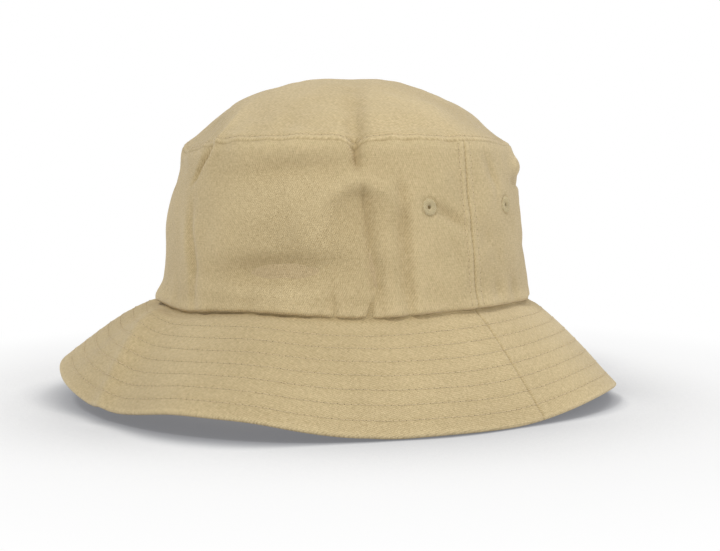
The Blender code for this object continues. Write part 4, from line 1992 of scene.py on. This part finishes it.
@dataclass
class Lining:
    """The sweatband with its stitching, and the care label hung from it."""

    shape: HatShape
    finishes: Finishes
    thickness: float = 1.0 * MM
    height: float = 30 * MM
    inset: float = 3.3 * MM
    stitch_height: float = 3.0 * MM
    columns: int = 400
    label_thickness: float = 0.35 * MM

    def build(self) -> None:
        """Builds the band, its stitches and the label."""
        self.build_band()
        self.build_label()

    def band_out(self, height: Array) -> Array:
        """The band's face against the crown, in by its inset, with the crown's own taper.

        Args:
            height: Heights over the brim seam.

        Returns:
            Distances out from the crown's half widths.
        """
        s = height / self.shape.side_run
        crown = 4 * self.shape.bulge * s * (1 - s) - self.shape.taper * s
        return crown - self.inset

    def face(self, angle: Array, height: Array, depth: Array | float) -> Array:
        """A place in the band: its faces are depth apart, gathered a little along the stitching
        and waved along the free upper edge by closed noise.

        Args:
            angle: Angles of the places.
            height: Heights over the brim seam.
            depth: Depths under its outer face.

        Returns:
            Points.
        """
        top = self.height
        wave = 0.22 * MM * ring_noise(angle, 61, 9, 26) * ease(height, 6 * MM, top)
        over = height - self.stitch_height
        gather = 0.12 * MM * ring_noise(angle, 62, 60, 120) * bell(over, 5 * MM)
        dip = 0.22 * MM * bell(over, 0.6 * MM) * np.sign(depth - self.thickness / 2)
        swell = 0.18 * MM * np.sin(HALF_TURN * np.clip(height / top, 0, 1))
        sewn = bell(bearing(angle, 90), 11) * ease(height, 17 * MM, 24 * MM)
        pressed = 0.45 * MM * sewn * np.clip(depth / self.thickness, 0, 1)
        out = self.band_out(height) - depth - swell * (depth > self.thickness / 2) + dip + gather
        out = out + wave * (1 - sewn) + pressed
        return self.shape.place(angle, out, self.shape.base_z + height)

    def inner_face(self, angle: Array, height: Array) -> Array:
        """A place on the band's face against the head."""
        return self.face(angle, height, self.thickness)

    def build_band(self) -> None:
        """The band as a closed section, rounded at its folded upper edge, carried round."""
        top = self.height
        half = self.thickness / 2
        spots = (self.stitch_height - half,)
        up = graded(top - self.thickness, spots, 0.3 * MM, 1.6 * MM, 3 * MM) + half
        turn = np.linspace(0, HALF_TURN, 7)[1:-1]
        cap = np.stack([top - half + half * np.sin(turn), half - half * np.cos(turn)], 1)
        foot = np.stack([half - half * np.sin(turn), half + half * np.cos(turn)], 1)
        outer = np.stack([up, np.zeros_like(up)], 1)
        inner = np.stack([up[::-1], np.full_like(up, self.thickness)], 1)
        section = np.concatenate([outer, cap, inner, foot])
        angle = np.arange(self.columns) * TURN / self.columns
        grid_angle, height = np.meshgrid(angle, section[:, 0], indexing="ij")
        depth = np.broadcast_to(section[:, 1], height.shape)
        points = self.face(grid_angle, height, depth)
        along = running_length(section)
        along = np.append(along, along[-1] + 0.3 * MM)
        round_hat = np.append(angle, TURN) * self.shape.mean_half
        weave = np.stack(np.meshgrid(round_hat, along, indexing="ij"), -1)
        # Painted highlight along the folded upper edge, painted shade along the stitched line.
        highlight_and_wear = 0.6 * bell(height - top, 1.2 * MM)
        wear_and_painted_light = highlight_and_wear - 0.5 * bell(height - self.stitch_height, 0.5 * MM)
        piece = tube("head_band", points, weave, wear_and_painted_light)
        dress(piece, (self.finishes.inside,), ("sweatband",))
        stitch = Lockstitch(seed=71)
        line = np.linspace(0, TURN, 900)
        level = np.full_like(line, self.stitch_height)
        rows = [stitch.row(self.inner_face, line, level, -1, True)]
        piece = stitch.build("head_band_stitches", rows)
        dress(piece, self.finishes.stitches, ("sweatband_stitch",))

    def build_label(self) -> None:
        """The label: a strip, bowed off the band and curled at its foot.

        With t from 0 at the hinge to 1 at the foot and u across, it stands off the band by
        bow * sin(pi t) + curl * t^3 + twist * u * t + cup * cos(2.2 u) * t.
        """
        low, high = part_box("care_label")
        rows = np.linspace(0, 1, 34)
        across = np.linspace(-1, 1, 22)
        t, u = np.meshgrid(rows, across, indexing="ij")
        middle = (low.x + high.x) / 2
        width = (high.x - low.x) / 2
        length = high.z - low.z
        x = middle + u * width * (1 + 0.01 * np.sin(9 * t))
        stand = 0.12 + 0.5 * np.sin(HALF_TURN * t) + 0.8 * t**3
        y = high.y - (stand + 0.35 * u * t + 0.12 * np.cos(2.2 * u) * t) * MM
        z = high.z - t * length
        points = np.stack([x, y, z], -1)
        weave = np.stack([u * width, t * length], -1)
        edge = np.maximum(ease(np.abs(u), 0.9, 1), ease(np.abs(t - 0.5), 0.46, 0.5))
        piece = Cloth(points, weave, self.label_thickness, wear_and_painted_light=edge).build("label_strip")
        dress(piece, (self.finishes.label,), ("care_label",), body="label")


# ---- the studio ----


@dataclass
class Studio:
    """A pale floor, soft light from the front and above, and the camera.

    Attributes:
        eye, forward, up, lens: The camera's place, its axes and its lens in mm.
        opening: Radius of the hole in the floor.
        contact: How far the floor's shading under the brim reaches.
        shade: The floor's colour where it is closed in.
        lights: Name, place, size, power and colour of each soft box.
    """

    eye: tuple[float, float, float] = (0.4934, -0.4350, 0.1147)
    forward: tuple[float, float, float] = (-0.73928, 0.66835, -0.08231)
    up: tuple[float, float, float] = (-0.05777, 0.05883, 0.99660)
    lens: float = 61.93
    opening: float = 88 * MM
    contact: float = 90 * MM
    shade: Colour = (0.33, 0.34, 0.37)
    lights: tuple[tuple[str, tuple[float, float, float], float, float, Colour], ...] = (
        ("key", (0.34, -1.06, 1.36), 0.36, 13.0, (1.0, 1.0, 0.975)),
        ("over", (0.05, 0.90, 1.40), 0.55, 6.0, (1.0, 1.0, 0.99)),
        ("side", (1.30, 0.40, 0.70), 0.8, 7.6, (0.98, 0.99, 1.0)),
        ("rim", (-1.15, -0.10, 0.62), 0.8, 3.6, (1.0, 0.99, 0.98)),
        ("under", (0.0, 0.0, -0.60), 0.5, 2.5, (1.0, 0.99, 0.97)),
    )

    def build(self) -> None:
        """Builds the floor, the lights, the sky and the camera."""
        bpy.context.scene.view_settings.view_transform = "Standard"
        self.build_floor()
        self.build_lights()
        self.build_sky()
        self.build_camera()

    def build_floor(self) -> None:
        """A round sheet of paper just under the brim, seen only from above, open under the crown
        so that the underside is lit."""
        count = 96
        turn = np.arange(count) * TURN / count
        way = np.stack([np.cos(turn), np.sin(turn), np.zeros(count)], 1)
        rings = np.concatenate([way * radius for radius in (self.opening, 0.3, 4.0)])
        rings[:, 2] = -0.2 * MM
        inner = np.arange(2 * count).reshape(2, count)
        following = np.roll(inner, -1, 1)
        faces = np.stack([inner, inner + count, following + count, following], -1).reshape(-1, 4)
        mesh = bpy.data.meshes.new("floor")
        mesh.from_pydata(rings.tolist(), [], faces.tolist())
        graph = Graph("paper")
        place = graph.add("TexCoord").outputs["Object"]
        tone = graph.total((graph.noise(place, (40, 40, 40), 3.0), 0.2), (1.0, 0.5))
        # Ambient occlusion darkens the floor towards its shade colour: a painted contact shadow.
        near = graph.add("AmbientOcclusion", samples=12)
        near.inputs["Distance"].default_value = self.contact
        open_share = graph.math("POWER", near.outputs["AO"], 2.6)
        paper = graph.mixed(tone, (0.88, 0.88, 0.885), (0.90, 0.90, 0.905))
        shaded = graph.mixed(open_share, self.shade, paper)
        graph.put(graph.shader.inputs["Base Color"], shaded)
        graph.even(Roughness=0.9, Specular_IOR_Level=0.1)
        # Half of the floor glows with that colour, painted shadow included, lifting the shade.
        soft = graph.add("Emission")
        graph.put(soft.inputs["Color"], shaded)
        lifted = graph.blend(0.5, graph.shader.outputs[0], soft.outputs[0])
        far = graph.add("VectorMath", operation="LENGTH")
        graph.put(far.inputs[0], place)
        reach = graph.total((far.outputs["Value"], 7.0), (1.0, -1.2))
        share = graph.math("SMOOTH_MIN", graph.math("MAXIMUM", reach, 0.0), 1.0, 0.2)
        faded = graph.blend(share, lifted, graph.add("Emission").outputs[0])
        behind = graph.add("NewGeometry").outputs["Backfacing"]
        shown = graph.blend(behind, faded, graph.add("BsdfTransparent").outputs[0])
        graph.put(graph.tree.nodes["Material Output"].inputs["Surface"], shown)
        floor = bpy.data.objects.new("floor", mesh)
        floor.data.materials.append(graph.material)
        bpy.context.scene.collection.objects.link(floor)

    def build_lights(self) -> None:
        """Soft boxes, each aimed at the crown."""
        target = np.array([0.0, 0.0, 0.09])
        for name, place, size, power, colour in self.lights:
            light = bpy.data.lights.new(name, "AREA")
            light.shape = "DISK"
            light.size, light.energy, light.color = size, power, colour
            lamp = bpy.data.objects.new(name, light)
            back = unit(np.array(place) - target)
            side = unit(np.cross([0, 0.1, 1], back))
            turn = np.stack([side, np.cross(back, side), back], 1)
            lamp.matrix_world = Matrix.Translation(place) @ Matrix(turn.tolist()).to_4x4()
            bpy.context.scene.collection.objects.link(lamp)

    def build_sky(self) -> None:
        """An even pale surround."""
        world = bpy.data.worlds.new("surround")
        world.use_nodes = True
        tree = world.node_tree
        ground = tree.nodes["Background"]
        ground.inputs["Color"].default_value = (1, 1, 1, 1)
        ground.inputs["Strength"].default_value = 0.34
        seen = tree.nodes.new("ShaderNodeBackground")
        seen.inputs["Color"].default_value = (1, 1, 1, 1)
        seen.inputs["Strength"].default_value = 1.0
        path = tree.nodes.new("ShaderNodeLightPath")
        choice = tree.nodes.new("ShaderNodeMixShader")
        tree.links.new(path.outputs["Is Camera Ray"], choice.inputs[0])
        tree.links.new(ground.outputs[0], choice.inputs[1])
        tree.links.new(seen.outputs[0], choice.inputs[2])
        tree.links.new(choice.outputs[0], tree.nodes["World Output"].inputs["Surface"])
        bpy.context.scene.world = world

    def build_camera(self) -> None:
        """The camera, its axes given as unit vectors."""
        data = bpy.data.cameras.new("camera")
        data.lens, data.sensor_width = self.lens, 36
        camera = bpy.data.objects.new("camera", data)
        forward, up = unit(np.array(self.forward)), unit(np.array(self.up))
        turn = np.stack([np.cross(forward, up), up, -forward], 1)
        camera.matrix_world = Matrix.Translation(self.eye) @ Matrix(turn.tolist()).to_4x4()
        bpy.context.scene.collection.objects.link(camera)
        bpy.context.scene.camera = camera


def main() -> None:
    """Builds the studio and the hat."""
    logging.basicConfig(level=logging.INFO, format="%(name)s %(message)s")
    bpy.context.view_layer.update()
    Studio().build()
    shape = HatShape.from_frame()
    finishes = Finishes()
    Crown(shape, finishes).build()
    Brim(shape, finishes).build()
    Lining(shape, finishes).build()


if __name__ == "__main__":
    main()
